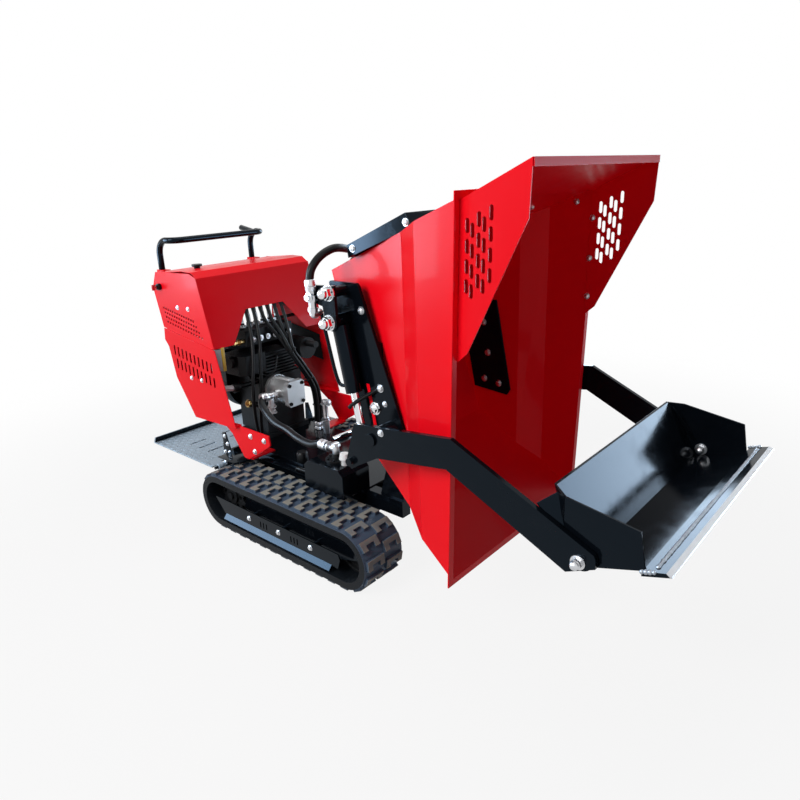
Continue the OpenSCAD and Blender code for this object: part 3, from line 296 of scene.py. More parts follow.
@dataclass(frozen=True)
class Finish:
    """One surface finish, built from the shared groups."""

    name: str
    colour: Triple
    roughness: float
    metallic: float = 0.0
    coat: float = 0.0
    coat_roughness: float = 0.05
    specular: float = 0.5
    gloss_tint: Triple = (1.0, 1.0, 1.0)
    mottle_scale: float = 5.0
    mottle_depth: float = 0.12
    skin_scale: float = 260.0
    skin_detail: float = 1.0
    skin_depth: float = 0.05
    skin_height: float = 0.002
    # Patches of a second colour and roughness: dust and wear on most finishes, painted sky glints on the tread plate.
    dust_and_sheen_colour: Triple = (0.32, 0.31, 0.3)
    dust_and_sheen_scale: float = 14.0
    dust_and_sheen_amount: float = 0.03
    dust_and_sheen_low: float = 0.5
    dust_and_sheen_high: float = 0.85
    dust_and_sheen_rough: float = 0.25
    belt: BeltLoop | None = None

    def build(self, groups: ShaderGroups) -> bpy.types.Material:
        """Makes the finish's material.

        Args:
            groups: the shared shader groups.

        Returns:
            The node-based material.
        """
        material = bpy.data.materials.new(self.name)
        w = blank_nodes(material)
        place = w.add("ShaderNodeTexCoord").outputs["Object"]
        mottle = w.add("ShaderNodeGroup", node_tree=groups.mottle, feeds={
            "Vector": place, "Colour": (*self.colour, 1.0), "Scale": self.mottle_scale, "Depth": self.mottle_depth})
        skin = w.add("ShaderNodeGroup", node_tree=groups.grain, feeds={
            "Vector": place, "Scale": self.skin_scale, "Detail": self.skin_detail})
        dust_and_sheen = w.add("ShaderNodeGroup", node_tree=groups.dust_and_sheen, feeds={
            "Vector": place, "Scale": self.dust_and_sheen_scale, "Low": self.dust_and_sheen_low, "High": self.dust_and_sheen_high,
            "Amount": self.dust_and_sheen_amount}).outputs["Mask"]
        # Dust and wear patches, which on the tread plate are painted sky glints, tint the mottled colour.
        colour = w.tint(dust_and_sheen, mottle.outputs["Colour"], self.dust_and_sheen_colour)
        rough = w.math("MULTIPLY_ADD", dust_and_sheen, self.dust_and_sheen_rough / max(self.dust_and_sheen_amount, 0.01), self.roughness, clamp=True)
        if self.belt:
            colour, rough = self._sheen_and_worn_tops(w, groups, self.belt, place, colour, rough)
        bump = w.add("ShaderNodeBump", {
            "Strength": self.skin_depth, "Distance": self.skin_height, "Height": skin.outputs["Height"]})
        shader = w.add("ShaderNodeBsdfPrincipled", {
            "Base Color": colour, "Roughness": rough, "Normal": bump.outputs["Normal"], "Metallic": self.metallic,
            "Coat Weight": self.coat, "Coat Roughness": self.coat_roughness, "Specular IOR Level": self.specular,
            "Specular Tint": (*self.gloss_tint, 1.0)})
        w.add("ShaderNodeOutputMaterial", {"Surface": shader.outputs["BSDF"]})
        return material

    @staticmethod
    def _sheen_and_worn_tops(w: NodeWeaver, groups: ShaderGroups, belt: BeltLoop, place: Socket, colour: Socket,
                   rough: Socket) -> tuple[Socket, Socket]:
        """Tints a belt's outer surface bluish as a painted sky reflection, and pales and dulls its worn lug tops.

        Args:
            w: the weaver of the material.
            groups: the shared shader groups.
            belt: the loop that the belt runs on.
            place: object coordinates.
            colour: the colour below the lug tops.
            rough: the roughness there.

        Returns:
            The new colour and roughness sockets.
        """
        # The first layer paints a sky reflection; the second is real wear on the lug tops.
        for layer in belt.layers:
            mask = w.add("ShaderNodeGroup", node_tree=groups.lugs, feeds={
                "Vector": place, "Rear": belt.rear, "Front": belt.front, "Centre": belt.centre, "Low": layer.low,
                "High": layer.high}).outputs["Mask"]
            colour = w.tint(mask, colour, layer.tint)
            rough = w.math("MULTIPLY_ADD", mask, layer.dulling, rough, clamp=True)
        return colour, rough


class Paint(Enum):
    """Finishes of the carrier, by the record's slot or by a small piece's own look."""

    RED = Finish("red_paint", (0.9, 0.003, 0.011), 0.3, coat=0.05, specular=0.07, mottle_scale=3.0,
                 mottle_depth=0.08, dust_and_sheen_amount=0.006)
    # Black paint: the bluish base and the blue gloss tint are painted sky reflection on plain black.
    BLACK = Finish("black_paint", (0.0024, 0.0036, 0.0056), 0.12, specular=0.15, gloss_tint=(0.5, 0.74, 1.0),
                   skin_depth=0.03, dust_and_sheen_amount=0.006)
    TRACK = Finish("track_rubber", (0.006, 0.0078, 0.0105), 0.36, specular=0.09, skin_scale=420.0, skin_detail=5.0,
                   skin_depth=0.35, dust_and_sheen_amount=0.04, dust_and_sheen_colour=(0.13, 0.135, 0.14), dust_and_sheen_scale=26.0,
                   dust_and_sheen_low=0.48, dust_and_sheen_high=0.72, dust_and_sheen_rough=0.12, belt=BeltLoop())
    HOSE = Finish("hose_rubber", (0.004, 0.0046, 0.0056), 0.34, specular=0.16, skin_scale=700.0, skin_detail=3.0,
                  skin_depth=0.12, dust_and_sheen_amount=0.01)
    STEEL = Finish("plain_steel", (0.56, 0.57, 0.59), 0.32, metallic=1.0, skin_scale=520.0, skin_detail=4.0,
                   skin_depth=0.08, mottle_scale=30.0, mottle_depth=0.25, dust_and_sheen_amount=0.1,
                   dust_and_sheen_colour=(0.2, 0.2, 0.2))
    BEAD = Finish("weld_metal", (0.3, 0.33, 0.37), 0.4, metallic=0.9, skin_scale=300.0, skin_detail=4.0,
                  skin_depth=0.4, mottle_scale=90.0, mottle_depth=0.8, dust_and_sheen_amount=0.15,
                  dust_and_sheen_colour=(0.1, 0.11, 0.12))
    CHROME = Finish("chromed_rod", (0.68, 0.69, 0.71), 0.08, metallic=1.0, skin_depth=0.01, mottle_depth=0.04,
                    dust_and_sheen_amount=0.02)
    CAST = Finish("cast_iron", (0.006, 0.0065, 0.0076), 0.45, specular=0.14, skin_scale=380.0, skin_detail=6.0,
                  skin_depth=0.35, dust_and_sheen_amount=0.06, dust_and_sheen_colour=(0.12, 0.12, 0.12))
    PLASTIC = Finish("black_plastic", (0.0042, 0.0047, 0.0056), 0.36, specular=0.13, skin_scale=900.0,
                     skin_detail=3.0, skin_depth=0.2, dust_and_sheen_amount=0.01)
    WHITE = Finish("white_plastic", (0.8, 0.81, 0.82), 0.3, mottle_depth=0.05, skin_depth=0.04)
    # Tread plate: real pale grey metal. Its bluish cast is painted sky reflection, and its pale blue patches are
    # painted sky glints, not dust.
    TREAD = Finish("tread_plate", (0.31, 0.39, 0.47), 0.42, metallic=0.2, skin_scale=420.0, skin_detail=4.0,
                   skin_depth=0.25, mottle_scale=240.0, mottle_depth=0.9, dust_and_sheen_amount=0.35, dust_and_sheen_scale=90.0,
                   dust_and_sheen_colour=(0.5, 0.56, 0.62))
    ALLOY = Finish("pump_alloy", (0.42, 0.43, 0.44), 0.36, metallic=0.85, skin_scale=480.0, skin_detail=5.0,
                   skin_depth=0.3, dust_and_sheen_amount=0.15, dust_and_sheen_colour=(0.25, 0.25, 0.25))
    KEY = Finish("red_plastic", (0.55, 0.012, 0.02), 0.3, skin_depth=0.05)
    BRASS = Finish("brass", (0.62, 0.42, 0.16), 0.3, metallic=1.0, skin_depth=0.1, mottle_depth=0.2)
    YELLOW = Finish("yellow_plastic", (0.75, 0.5, 0.03), 0.4, skin_depth=0.05)
    GREY = Finish("grey_panel", (0.35, 0.36, 0.38), 0.45, skin_depth=0.05)
    # Painted shade: a near-black finish for sheets set where there is only shade.
    SHADE = Finish("dark_lining", (0.004, 0.004, 0.0045), 0.7, specular=0.1, skin_depth=0.1)


class Finishes:
    """Builds materials when they are first asked for."""

    def __init__(self) -> None:
        """Makes the shared groups and an empty shelf of materials."""
        self.groups = ShaderGroups()
        self._made: dict[Paint, bpy.types.Material] = {}

    def get(self, paint: Paint) -> bpy.types.Material:
        """Returns the material of a paint, made once."""
        if paint not in self._made:
            self._made[paint] = paint.value.build(self.groups)
        return self._made[paint]

    def by_slot(self, slot: str) -> bpy.types.Material:
        """Returns the material whose finish has the record slot's name."""
        return self.get(next(p for p in Paint if p.value.name == slot))


# Geometry node trees and meshes


class GeometryTrees:
    """Builds the geometry trees that place repeated pieces."""

    def __init__(self) -> None:
        """Makes the trees once."""
        self.bolts = self._bolts()
        self.beads = self._beads()
        self.ribs = self._ribs()

    @staticmethod
    def _start(name: str, sizes: dict[str, float]) -> tuple[Tree, NodeWeaver, Any, Any]:
        """Makes a geometry tree that takes a seed, sizes and a material."""
        inputs = {"Geometry": "Geometry", **sizes, "Material": "Material"}
        return new_group("GeometryNodeTree", name, inputs, {"Geometry": "Geometry"})

    @staticmethod
    def _close(w: NodeWeaver, ins: Any, outs: Any, spread: bpy.types.Node) -> None:
        """Ends a tree in Realize Instances and Set Material."""
        real = w.add("GeometryNodeRealizeInstances", {0: spread.outputs[0]})
        dress = w.add("GeometryNodeSetMaterial", {"Geometry": real.outputs[0], "Material": ins["Material"]})
        w.link(dress.outputs[0], outs[0])

    def _bolts(self) -> Tree:
        """Returns a tree that sets a hexagon head on a washer at each vertex, along its axis attribute."""
        tree, w, ins, outs = self._start("hexagon_bolts", {
            "Head Radius": 1.0, "Head Height": 0.7, "Washer Radius": 1.35, "Washer Height": 0.22,
            "Crown Foot": 0.88, "Crown Top": 0.62, "Crown Height": 0.16})
        head = w.add("GeometryNodeMeshCylinder", {
            "Vertices": 6, "Radius": ins["Head Radius"], "Depth": ins["Head Height"]})
        washer = w.add("GeometryNodeMeshCylinder", {
            "Vertices": 20, "Radius": ins["Washer Radius"], "Depth": ins["Washer Height"]})
        crown = w.add("GeometryNodeMeshCone", {
            "Vertices": 12, "Radius Bottom": ins["Crown Foot"], "Radius Top": ins["Crown Top"],
            "Depth": ins["Crown Height"]})
        join = w.add("GeometryNodeJoinGeometry")
        for part, height in ((head, w.math("MULTIPLY", ins["Head Height"], 0.5)), (crown, ins["Head Height"])):
            lift = w.add("ShaderNodeCombineXYZ", {"Z": height}).outputs[0]
            move = w.add("GeometryNodeTransform", {"Geometry": part.outputs["Mesh"], "Translation": lift})
            w.link(move.outputs[0], join.inputs[0])
        w.link(washer.outputs["Mesh"], join.inputs[0])
        align = w.add("FunctionNodeAlignRotationToVector", {"Vector": w.attribute("axis", "FLOAT_VECTOR")}, axis="Z")
        self._close(w, ins, outs, w.add("GeometryNodeInstanceOnPoints", {
            "Points": ins["Geometry"], "Instance": join.outputs[0], "Rotation": align.outputs[0],
            "Scale": w.attribute("size", "FLOAT")}))
        return tree

    def _beads(self) -> Tree:
        """Returns a tree that lays overlapping weld ripples along each edge path."""
        tree, w, ins, outs = self._start("weld_ripples", {"Pitch": 0.005, "Radius": 0.0045})
        path = w.add("GeometryNodeMeshToCurve", {"Mesh": ins["Geometry"]})
        even = w.add("GeometryNodeResampleCurve", mode="LENGTH", feeds={
            "Curve": path.outputs[0], "Length": ins["Pitch"]})
        drop = w.add("GeometryNodeMeshIcoSphere", {"Subdivisions": 2, "Radius": ins["Radius"]})
        vary = w.add("FunctionNodeRandomValue", {2: 0.85, 3: 1.15, "Seed": 7}, data_type="FLOAT")
        self._close(w, ins, outs, w.add("GeometryNodeInstanceOnPoints", {
            "Points": even.outputs[0], "Instance": drop.outputs["Mesh"], "Scale": vary.outputs[1]}))
        return tree

    def _ribs(self) -> Tree:
        """Returns a tree that sets raised lens-shaped ribs on points, turned by an attribute."""
        tree, w, ins, outs = self._start("tread_ribs", {"Length": 0.012, "Width": 0.0035, "Height": 0.0016})
        ball = w.add("GeometryNodeMeshUVSphere", {"Segments": 8, "Rings": 4, "Radius": 1.0})
        shape = w.add("ShaderNodeCombineXYZ", {"X": ins["Length"], "Y": ins["Width"], "Z": ins["Height"]})
        flat = w.add("GeometryNodeTransform", {"Geometry": ball.outputs["Mesh"], "Scale": shape.outputs[0]})
        angle = w.add("FunctionNodeEulerToRotation", {0: w.attribute("turn", "FLOAT_VECTOR")})
        self._close(w, ins, outs, w.add("GeometryNodeInstanceOnPoints", {
            "Points": ins["Geometry"], "Instance": flat.outputs[0], "Rotation": angle.outputs[0]}))
        return tree


class Workshop:
    """Makes meshes, runs the geometry trees and puts pieces on their bodies."""

    def __init__(self, frame: dict[str, Any]) -> None:
        """Keeps the frame and prepares finishes and trees."""
        self.frame = frame
        self.finishes = Finishes()
        self.trees = GeometryTrees()

    def place(self, name: str, bm: BMesh, paint: Paint, body: Body, smooth: float = 35.0) -> bpy.types.Object:
        """Turns a bmesh into a finished piece on a body.

        Args:
            name: the piece's name.
            bm: its mesh, in the CAD's frame; it is freed.
            paint: its finish.
            body: the body that it rides on.
            smooth: edges below this angle, in degrees, are shaded smooth.

        Returns:
            The new object.
        """
        mesh = bpy.data.meshes.new(name)
        bmesh.ops.recalc_face_normals(bm, faces=bm.faces)
        bm.to_mesh(mesh)
        bm.free()
        return self._adopt(name, mesh, paint, body, smooth)

    def _adopt(self, name: str, mesh: bpy.types.Mesh, paint: Paint, body: Body, smooth: float) -> bpy.types.Object:
        """Links a mesh as a piece, shades it and puts it on its body."""
        mesh.materials.clear()
        mesh.materials.append(self.finishes.get(paint))
        mesh.shade_smooth()
        mesh.set_sharp_from_angle(angle=math.radians(smooth))
        piece = bpy.data.objects.new(name, mesh)
        bpy.context.scene.collection.objects.link(piece)
        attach(piece, body.value)
        LOG.info("piece %s on %s: %d faces", name, body.value, len(mesh.polygons))
        return piece

    def grow(self, name: str, seed: bpy.types.Mesh, tree: Tree, sizes: dict[str, float], paint: Paint, body: Body,
             smooth: float = 35.0) -> bpy.types.Object:
        """Runs a geometry tree on a seed mesh and keeps the result as a plain mesh.

        Args:
            name: the piece's name.
            seed: points or edges, with the tree's attributes.
            tree: the geometry tree.
            sizes: values of the tree's named inputs, in metres.
            paint: the finish.
            body: the body that it rides on.
            smooth: edges below this angle, in degrees, are shaded smooth.

        Returns:
            The new object.
        """
        carrier = bpy.data.objects.new(name + "_seed", seed)
        bpy.context.scene.collection.objects.link(carrier)
        modifier = carrier.modifiers.new("tree", "NODES")
        modifier.node_group = tree
        values = {**sizes, "Material": self.finishes.get(paint)}
        for item in tree.interface.items_tree:
            if item.item_type == "SOCKET" and item.in_out == "INPUT" and item.name in values:
                modifier[item.identifier] = values[item.name]
        graph = bpy.context.evaluated_depsgraph_get()
        mesh = bpy.data.meshes.new_from_object(carrier.evaluated_get(graph))
        mesh.name = name
        bpy.data.objects.remove(carrier)
        return self._adopt(name, mesh, paint, body, smooth)

    def bolts(self, name: str, spots: Sequence[Spot], body: Body) -> None:
        """Sets hexagon bolts on washers.

        Args:
            name: the piece's name.
            spots: place, outward axis and head radius of each bolt.
            body: the body that they ride on.
        """
        seed = bpy.data.meshes.new(name + "_points")
        seed.from_pydata([s[0] for s in spots], [], [])
        seed.attributes.new("axis", "FLOAT_VECTOR", "POINT")
        seed.attributes.new("size", "FLOAT", "POINT")
        for k, (_, direction, radius) in enumerate(spots):
            seed.attributes["axis"].data[k].vector = direction.normalized()
            seed.attributes["size"].data[k].value = radius * MM
        self.grow(name, seed, self.trees.bolts, {}, Paint.STEEL, body)

    def beads(self, name: str, paths: Sequence[Sequence[Vector]], radius: float, body: Body) -> None:
        """Lays weld beads along paths.

        Args:
            name: the piece's name.
            paths: points of each path.
            radius: radius of a ripple.
            body: the body that they ride on.
        """
        pitch_share = 1.35
        verts: list[Vector] = []
        edges: list[tuple[int, int]] = []
        for path in paths:
            base = len(verts)
            verts.extend(path)
            edges.extend((base + k, base + k + 1) for k in range(len(path) - 1))
        seed = bpy.data.meshes.new(name + "_path")
        seed.from_pydata(verts, edges, [])
        sizes = {"Radius": radius * MM, "Pitch": radius * MM * pitch_share}
        self.grow(name, seed, self.trees.beads, sizes, Paint.BEAD, body, 60.0)

    def ribs(self, name: str, spots: Sequence[Vector], turns: Sequence[Vector], length: float, paint: Paint,
             body: Body) -> None:
        """Sets raised ribs on points.

        Args:
            name: the piece's name.
            spots: place of each rib.
            turns: Euler angles of each rib.
            length: half a rib's length.
            paint: their finish.
            body: the body that they ride on.
        """
        seed = bpy.data.meshes.new(name + "_points")
        seed.from_pydata(spots, [], [])
        turn = seed.attributes.new("turn", "FLOAT_VECTOR", "POINT")
        for k, value in enumerate(turns):
            turn.data[k].vector = value
        self.grow(name, seed, self.trees.ribs, {"Length": length * MM}, paint, body)

    @staticmethod
    def eased(points: Iterable[Triple], side: Side = Side.LEFT, steps: int = 6) -> list[Vector]:
        """Returns a smooth path through points.

        Args:
            points: the points of the route, in millimetres.
            side: the side that it lies on, where Y is counted from the middle.
            steps: points laid between two neighbours.

        Returns:
            The denser path, in metres.
        """
        route = [side.at(*p) for p in points]
        pts = [route[0], *route, route[-1]]
        out: list[Vector] = []
        for p0, p1, p2, p3 in zip(pts, pts[1:], pts[2:], pts[3:]):
            for t in (k / steps for k in range(steps)):
                out.append(0.5 * ((2 * p1) + (p2 - p0) * t + (2 * p0 - 5 * p1 + 4 * p2 - p3) * t * t
                                  + (3 * p1 - p0 - 3 * p2 + p3) * t ** 3))
        out.append(route[-1].copy())
        return out

    @staticmethod
    def _circle(bm: BMesh, centre: Vector, u: Vector, v: Vector, radius: float, sides: int) -> list[Any]:
        """Adds a ring of vertices and returns them; the radius is in metres."""
        return [bm.verts.new(centre + radius * (math.cos(a) * u + math.sin(a) * v))
                for a in (2 * math.pi * k / sides for k in range(sides))]

    @staticmethod
    def _skin(bm: BMesh, rings: Sequence[Sequence[Any]]) -> None:
        """Closes a row of rings into a solid."""
        for lower, upper in zip(rings, rings[1:]):
            for k in range(len(lower)):
                n = (k + 1) % len(lower)
                bm.faces.new((lower[k], lower[n], upper[n], upper[k]))
        bm.faces.new(list(reversed(rings[0])))
        bm.faces.new(rings[-1])

    @classmethod
    def sweep(cls, bm: BMesh, path: Sequence[Vector], radius: float | list[float], sides: int = 14) -> None:
        """Adds a closed tube along a path to a bmesh.

        Args:
            bm: the mesh that is added to.
            path: points of the centre line.
            radius: one radius, or one for each point.
            sides: sides of a ring.
        """
        radii = radius if isinstance(radius, list) else [radius] * len(path)
        tangent = (path[1] - path[0]).normalized()
        across = tangent.orthogonal().normalized()
        rings = []
        for i, point in enumerate(path):
            ahead = (path[min(i + 1, len(path) - 1)] - path[max(i - 1, 0)]).normalized()
            across = (tangent.rotation_difference(ahead) @ across).normalized()
            tangent = ahead
            rings.append(cls._circle(bm, point, across, tangent.cross(across), radii[i] * MM, sides))
        cls._skin(bm, rings)

    @classmethod
    def lathe(cls, bm: BMesh, foot: Vector, axis: Vector, profile: Iterable[Pair], sides: int = 24) -> None:
        """Adds a turned solid to a bmesh.

        Args:
            bm: the mesh that is added to.
            foot: start of the axis.
            axis: its direction.
            profile: radius and distance along the axis of each ring, closed by flat ends.
            sides: sides of a ring.
        """
        along = axis.normalized()
        u = along.orthogonal().normalized()
        v = along.cross(u)
        cls._skin(bm, [cls._circle(bm, foot + along * (h * MM), u, v, r * MM, sides) for r, h in profile])

    @classmethod
    def stack(cls, bm: BMesh, foot: Vector, axis: Vector, stages: Iterable[Stage]) -> None:
        """Adds turned solids that stand on each other, such as a washer, a nut and its dome.

        Args:
            bm: the mesh that is added to.
            foot: start of the axis.
            axis: its direction.
            stages: start along the axis, sides and profile of each solid.
        """
        for start, sides, profile in stages:
            cls.lathe(bm, foot + axis.normalized() * (start * MM), axis, profile, sides)

    @staticmethod
    def ring(bm: BMesh, centre: Vector, axis: Vector, radius: float, wire: float, steps: int = 28) -> None:
        """Adds a round band to a bmesh.

        Args:
            bm: the mesh that is added to.
            centre: middle of the band.
            axis: its axis.
            radius: radius of its centre line.
            wire: radius of its section, which is stretched along the axis.
            steps: sections round the band.
        """
        stretch, corners = 1.6, 8
        along = axis.normalized()
        u = along.orthogonal().normalized()
        v = along.cross(u)
        loops = []
        for a in (2 * math.pi * k / steps for k in range(steps)):
            out = math.cos(a) * u + math.sin(a) * v
            middle = centre + out * (radius * MM)
            loops.append(Workshop._circle(bm, middle, out, along * stretch, wire * MM, corners))
        for loop, ahead in zip(loops, loops[1:] + loops[:1]):
            for j in range(corners):
                n = (j + 1) % corners
                bm.faces.new((loop[j], loop[n], ahead[n], ahead[j]))

    @staticmethod
    def slab(bm: BMesh, outline: Sequence[Vector], depth: Vector, bevel: float = 0.0) -> None:
        """Adds a flat outline pulled along a vector to a bmesh.

        Args:
            bm: the mesh that is added to.
            outline: corners of the outline, in order.
            depth: the pull.
            bevel: width of the rounded edges.
        """
        low = [bm.verts.new(p) for p in outline]
        high = [bm.verts.new(p + depth) for p in outline]
        n = len(low)
        faces = [bm.faces.new(low), bm.faces.new(list(reversed(high)))]
        faces += [bm.faces.new((low[k], high[k], high[(k + 1) % n], low[(k + 1) % n])) for k in range(n)]
        if bevel > 0:
            edges = list({e for f in faces for e in f.edges})
            bmesh.ops.bevel(bm, geom=edges, offset=bevel * MM, segments=2, affect="EDGES", profile=0.6)

    @classmethod
    def plate(cls, bm: BMesh, side: Side, outline: Outline, face: float, thick: float, bevel: float = 0.0) -> None:
        """Adds an upright plate to a bmesh.

        Args:
            bm: the mesh that is added to.
            side: the side that it stands on.
            outline: X and Z of its corners.
            face: its inner face's distance from the machine's middle.
            thick: its thickness, away from the middle.
            bevel: width of the rounded edges.
        """
        cls.slab(bm, [side.at(x, face, z) for x, z in outline], side.out * (thick * MM), bevel)


# Sub-assemblies


@dataclass
class NodeDresser:
    """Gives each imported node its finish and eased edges."""

    edge: float = 1.1
    merge: float = 0.02
    sharp_angle: float = 40.0
    crisp: tuple[str, ...] = ("chassis_hoses", "lift_hoses")
    overrides: dict[str, Paint] = field(default_factory=lambda: {
        "muffler": Paint.CAST, "cutting_edge": Paint.BLACK, "pivot_pins": Paint.BLACK})

    def build(self, shop: Workshop) -> None:
        """Assigns finishes by the record's slots.

        Args:
            shop: the workshop.
        """
        slots = {s["node"]: s["material_slot"] for s in shop.frame["record"]["subparts"]}
        for name, node in shop.frame["nodes"].items():
            paint = self.overrides.get(name)
            material = shop.finishes.get(paint) if paint else shop.finishes.by_slot(slots[name])
            node.data.materials.clear()
            node.data.materials.append(material)
            if name not in self.crisp:
                node.modifiers.new("weld", "WELD").merge_threshold = self.merge * MM
                bevel = node.modifiers.new("eased_edges", "BEVEL")
                bevel.width = self.edge * MM
                bevel.segments = 2
                bevel.limit_method = "ANGLE"
                bevel.angle_limit = math.radians(self.sharp_angle)
            LOG.info("node %s: %s", name, material.name)


@dataclass
class Hoses:
    """Hydraulic hoses as smooth tubes with crimped ends."""

    drop: float = 270.2
    thin: float = 7.0
    thick: float = 14.0
    lift: float = 12.0
    arch: Outline = ((-680, 755.2), (-684, 790), (-688, 830), (-682, 856), (-667, 864), (-654, 852), (-651, 828),
                     (-640, 800))
    back: Route = ((-508, -126.5, 485), (-508, -146, 485), (-490, -172, 466), (-400, -192, 424), (-320, -196, 410),
                   (-240, -208, 396), (-160, -220, 398), (-110, -222, 414), (-74.5, -222, 414))
    loop: Route = ((104, 396, 997), (102, 396, 1026), (102, 388, 1056), (106, 364, 1084), (112, 330, 1103),
                   (110, 286, 1108), (86, 205, 1092), (52, 144, 1066), (20, 136, 1044), (18, 142, 1005),
                   (16, 146, 955), (22, 148, 905), (50, 148, 874), (87, 148, 884))
    ties: tuple[tuple[Triple, Triple], ...] = (((-549.5, 44.5, 634), (12, 40, -80)), ((-526, 106, 502), (12, 36, -80)),
                                               ((-512, 134, 380), (6, -4, -70)))
    ferrule: Outline = ((0.9, 0), (1.3, 1), (1.35, 12), (1.2, 14), (1.35, 16), (1.3, 30), (1.05, 34))

    def _lay(self, shop: Workshop, tubes: BMesh, ends: BMesh, path: list[Vector], radius: float, sides: int) -> None:
        """Adds a hose, and a crimped ferrule at each end, whose profile is in shares of the hose's radius."""
        shop.sweep(tubes, path, radius, sides)
        for end, inner in ((path[0], path[1]), (path[-1], path[-2])):
            shop.lathe(ends, end, inner - end, [(radius * share, far) for share, far in self.ferrule], 16)

    def _thin_route(self, k: int) -> list[Triple]:
        """Returns the route of one thin hose: over an arch behind the cover, then down to the deck.

        Args:
            k: place of its port along the valve.

        Returns:
            Points in millimetres.
        """
        y = PORTS[k]
        route: list[Triple] = [(x, y, z) for x, z in self.arch]
        if k < 2:
            s = 20.0 * k
            return route + [(-618, y - 8, 750), (-590, y - 24, 690), (-570, y - 44, 620), (-560, -152 + 2 * s, 548),
                            (-564, -156 + 1.7 * s, 470), (-573, -150 + 1.4 * s, 400), (-580, -140 + s, 330),
                            (-580, -136 + s, self.drop)]
        a, b = 17.0 * (k % 2), 17.0 * (k // 2 - 1)
        return route + [(-617, 4 + 0.9 * y, 752), (-586 + a / 2, 22 + 0.5 * y, 694), (-558 + a, 36 + b, 634),
                        (-542 + a, 80 + b, 550), (-528 + a, 118 + b, 470), (-522 + a, 127 + b, 400),
                        (-516 + a, 122 + b, 330), (-514 + a, 115 + b, self.drop)]

    def build(self, shop: Workshop) -> None:
        """Builds the hoses of the engine bay, and the loops that feed the lift cylinders.

        Args:
            shop: the workshop.
        """
        tubes, ends, ties = (bmesh.new() for _ in range(3))
        for k in range(len(PORTS)):
            self._lay(shop, tubes, ends, shop.eased(self._thin_route(k)), self.thin, 14)
        self._lay(shop, tubes, ends, shop.eased(self.back), self.thick, 18)
        for at, axis in self.ties:
            shop.ring(ties, mm(*at), Vector(axis), 20.5, 1.6)
        shop.place("hose_ties", ties, Paint.PLASTIC, Body.CHASSIS, 60.0)
        hoses = shop.place("engine_bay_hoses", tubes, Paint.HOSE, Body.CHASSIS)
        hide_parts("chassis_hoses")
        shop.place("engine_bay_ferrules", ends, Paint.STEEL, Body.CHASSIS)
        tubes, ends = bmesh.new(), bmesh.new()
        for side in Side:
            self._lay(shop, tubes, ends, shop.eased(self.loop, side), self.lift, 18)
        hoses = shop.place("lift_hose_loops", tubes, Paint.HOSE, Body.SKIP)
        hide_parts("lift_hoses")
        shop.place("lift_hose_ferrules", ends, Paint.STEEL, Body.SKIP)


@dataclass
class GuardSheets:
    """Sheets of the spill guard, with their slots."""

    half: float = 356.5
    thick: float = 3.0
    root: Pair = (591.0, 1240.4)
    top: Pair = (791.0, 1331.0)
    lip: float = 20.0
    side: Outline = ((591, 1240.4), (789, 1331), (783, 1205), (619, 878), (589, 852), (586, 880))
    columns: Outline = ((617, 1045), (631, 1034.5), (649.5, 1060), (664, 1049), (683, 1075))
    rows: int = 4
    pitch: float = 47.2
    lean: float = 1.3
    slot_w: float = 11.0
    slot_len: float = 35.0

    def _slot(self, x: float, z: float) -> list[Pair]:
        """Returns the outline of one upright slot with round ends.

        Args:
            x: its centre along the machine.
            z: its centre's height.

        Returns:
            Corners in order.
        """
        r, reach = self.slot_w / 2, (self.slot_len - self.slot_w) / 2
        arc = [math.pi * k / 8 for k in range(9)]
        return ([(x + r * math.cos(a), z + reach + r * math.sin(a)) for a in arc]
                + [(x - r * math.cos(a), z - reach - r * math.sin(a)) for a in arc])

    def _pierced(self, bm: BMesh, face: float) -> None:
        """Adds one side sheet with its slots to a bmesh.

        Args:
            bm: the mesh that is added to.
            face: Y of the sheet's middle.
        """
        curve = bpy.data.curves.new("guard_outline", "CURVE")
        curve.dimensions = "2D"
        curve.fill_mode = "BOTH"
        curve.extrude = self.thick / 2 * MM
        holes = [self._slot(x + self.lean * row, z + self.pitch * row)
                 for x, z in self.columns for row in range(self.rows)]
        for loop in (self.side, *holes):
            spline = curve.splines.new("POLY")
            spline.points.add(len(loop) - 1)
            for point, (x, z) in zip(spline.points, loop):
                point.co = (x * MM, z * MM, 0.0, 1.0)
            spline.use_cyclic_u = True
        carrier = bpy.data.objects.new("guard_outline", curve)
        bpy.context.scene.collection.objects.link(carrier)
        graph = bpy.context.evaluated_depsgraph_get()
        mesh = bpy.data.meshes.new_from_object(carrier.evaluated_get(graph))
        bpy.data.objects.remove(carrier)
        mesh.transform(Matrix.Translation((0, face * MM, 0)) @ Matrix.Rotation(math.pi / 2, 4, "X"))
        bm.from_mesh(mesh)
        bpy.data.meshes.remove(mesh)

    def build(self, shop: Workshop) -> None:
        """Builds both sides and the brow in place of the plain node.

        Args:
            shop: the workshop.
        """
        bm = bmesh.new()
        for side in Side:
            self._pierced(bm, side.value * (self.half - self.thick / 2))
        (tx, tz), (rx, rz), t = self.top, self.root, self.thick
        brow = ((rx, rz), (tx, tz), (tx, tz - self.lip), (tx - t, tz - self.lip), (tx - t, tz - t - 1), (rx, rz - t))
        inner = self.half - t
        shop.slab(bm, [mm(x, -inner, z) for x, z in brow], mm(0, 2 * inner, 0))
        bmesh.ops.remove_doubles(bm, verts=bm.verts, dist=1e-6)
        sheets = shop.place("spill_guard_sheets", bm, Paint.RED, Body.SKIP, 30.0)
        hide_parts("spill_guard")


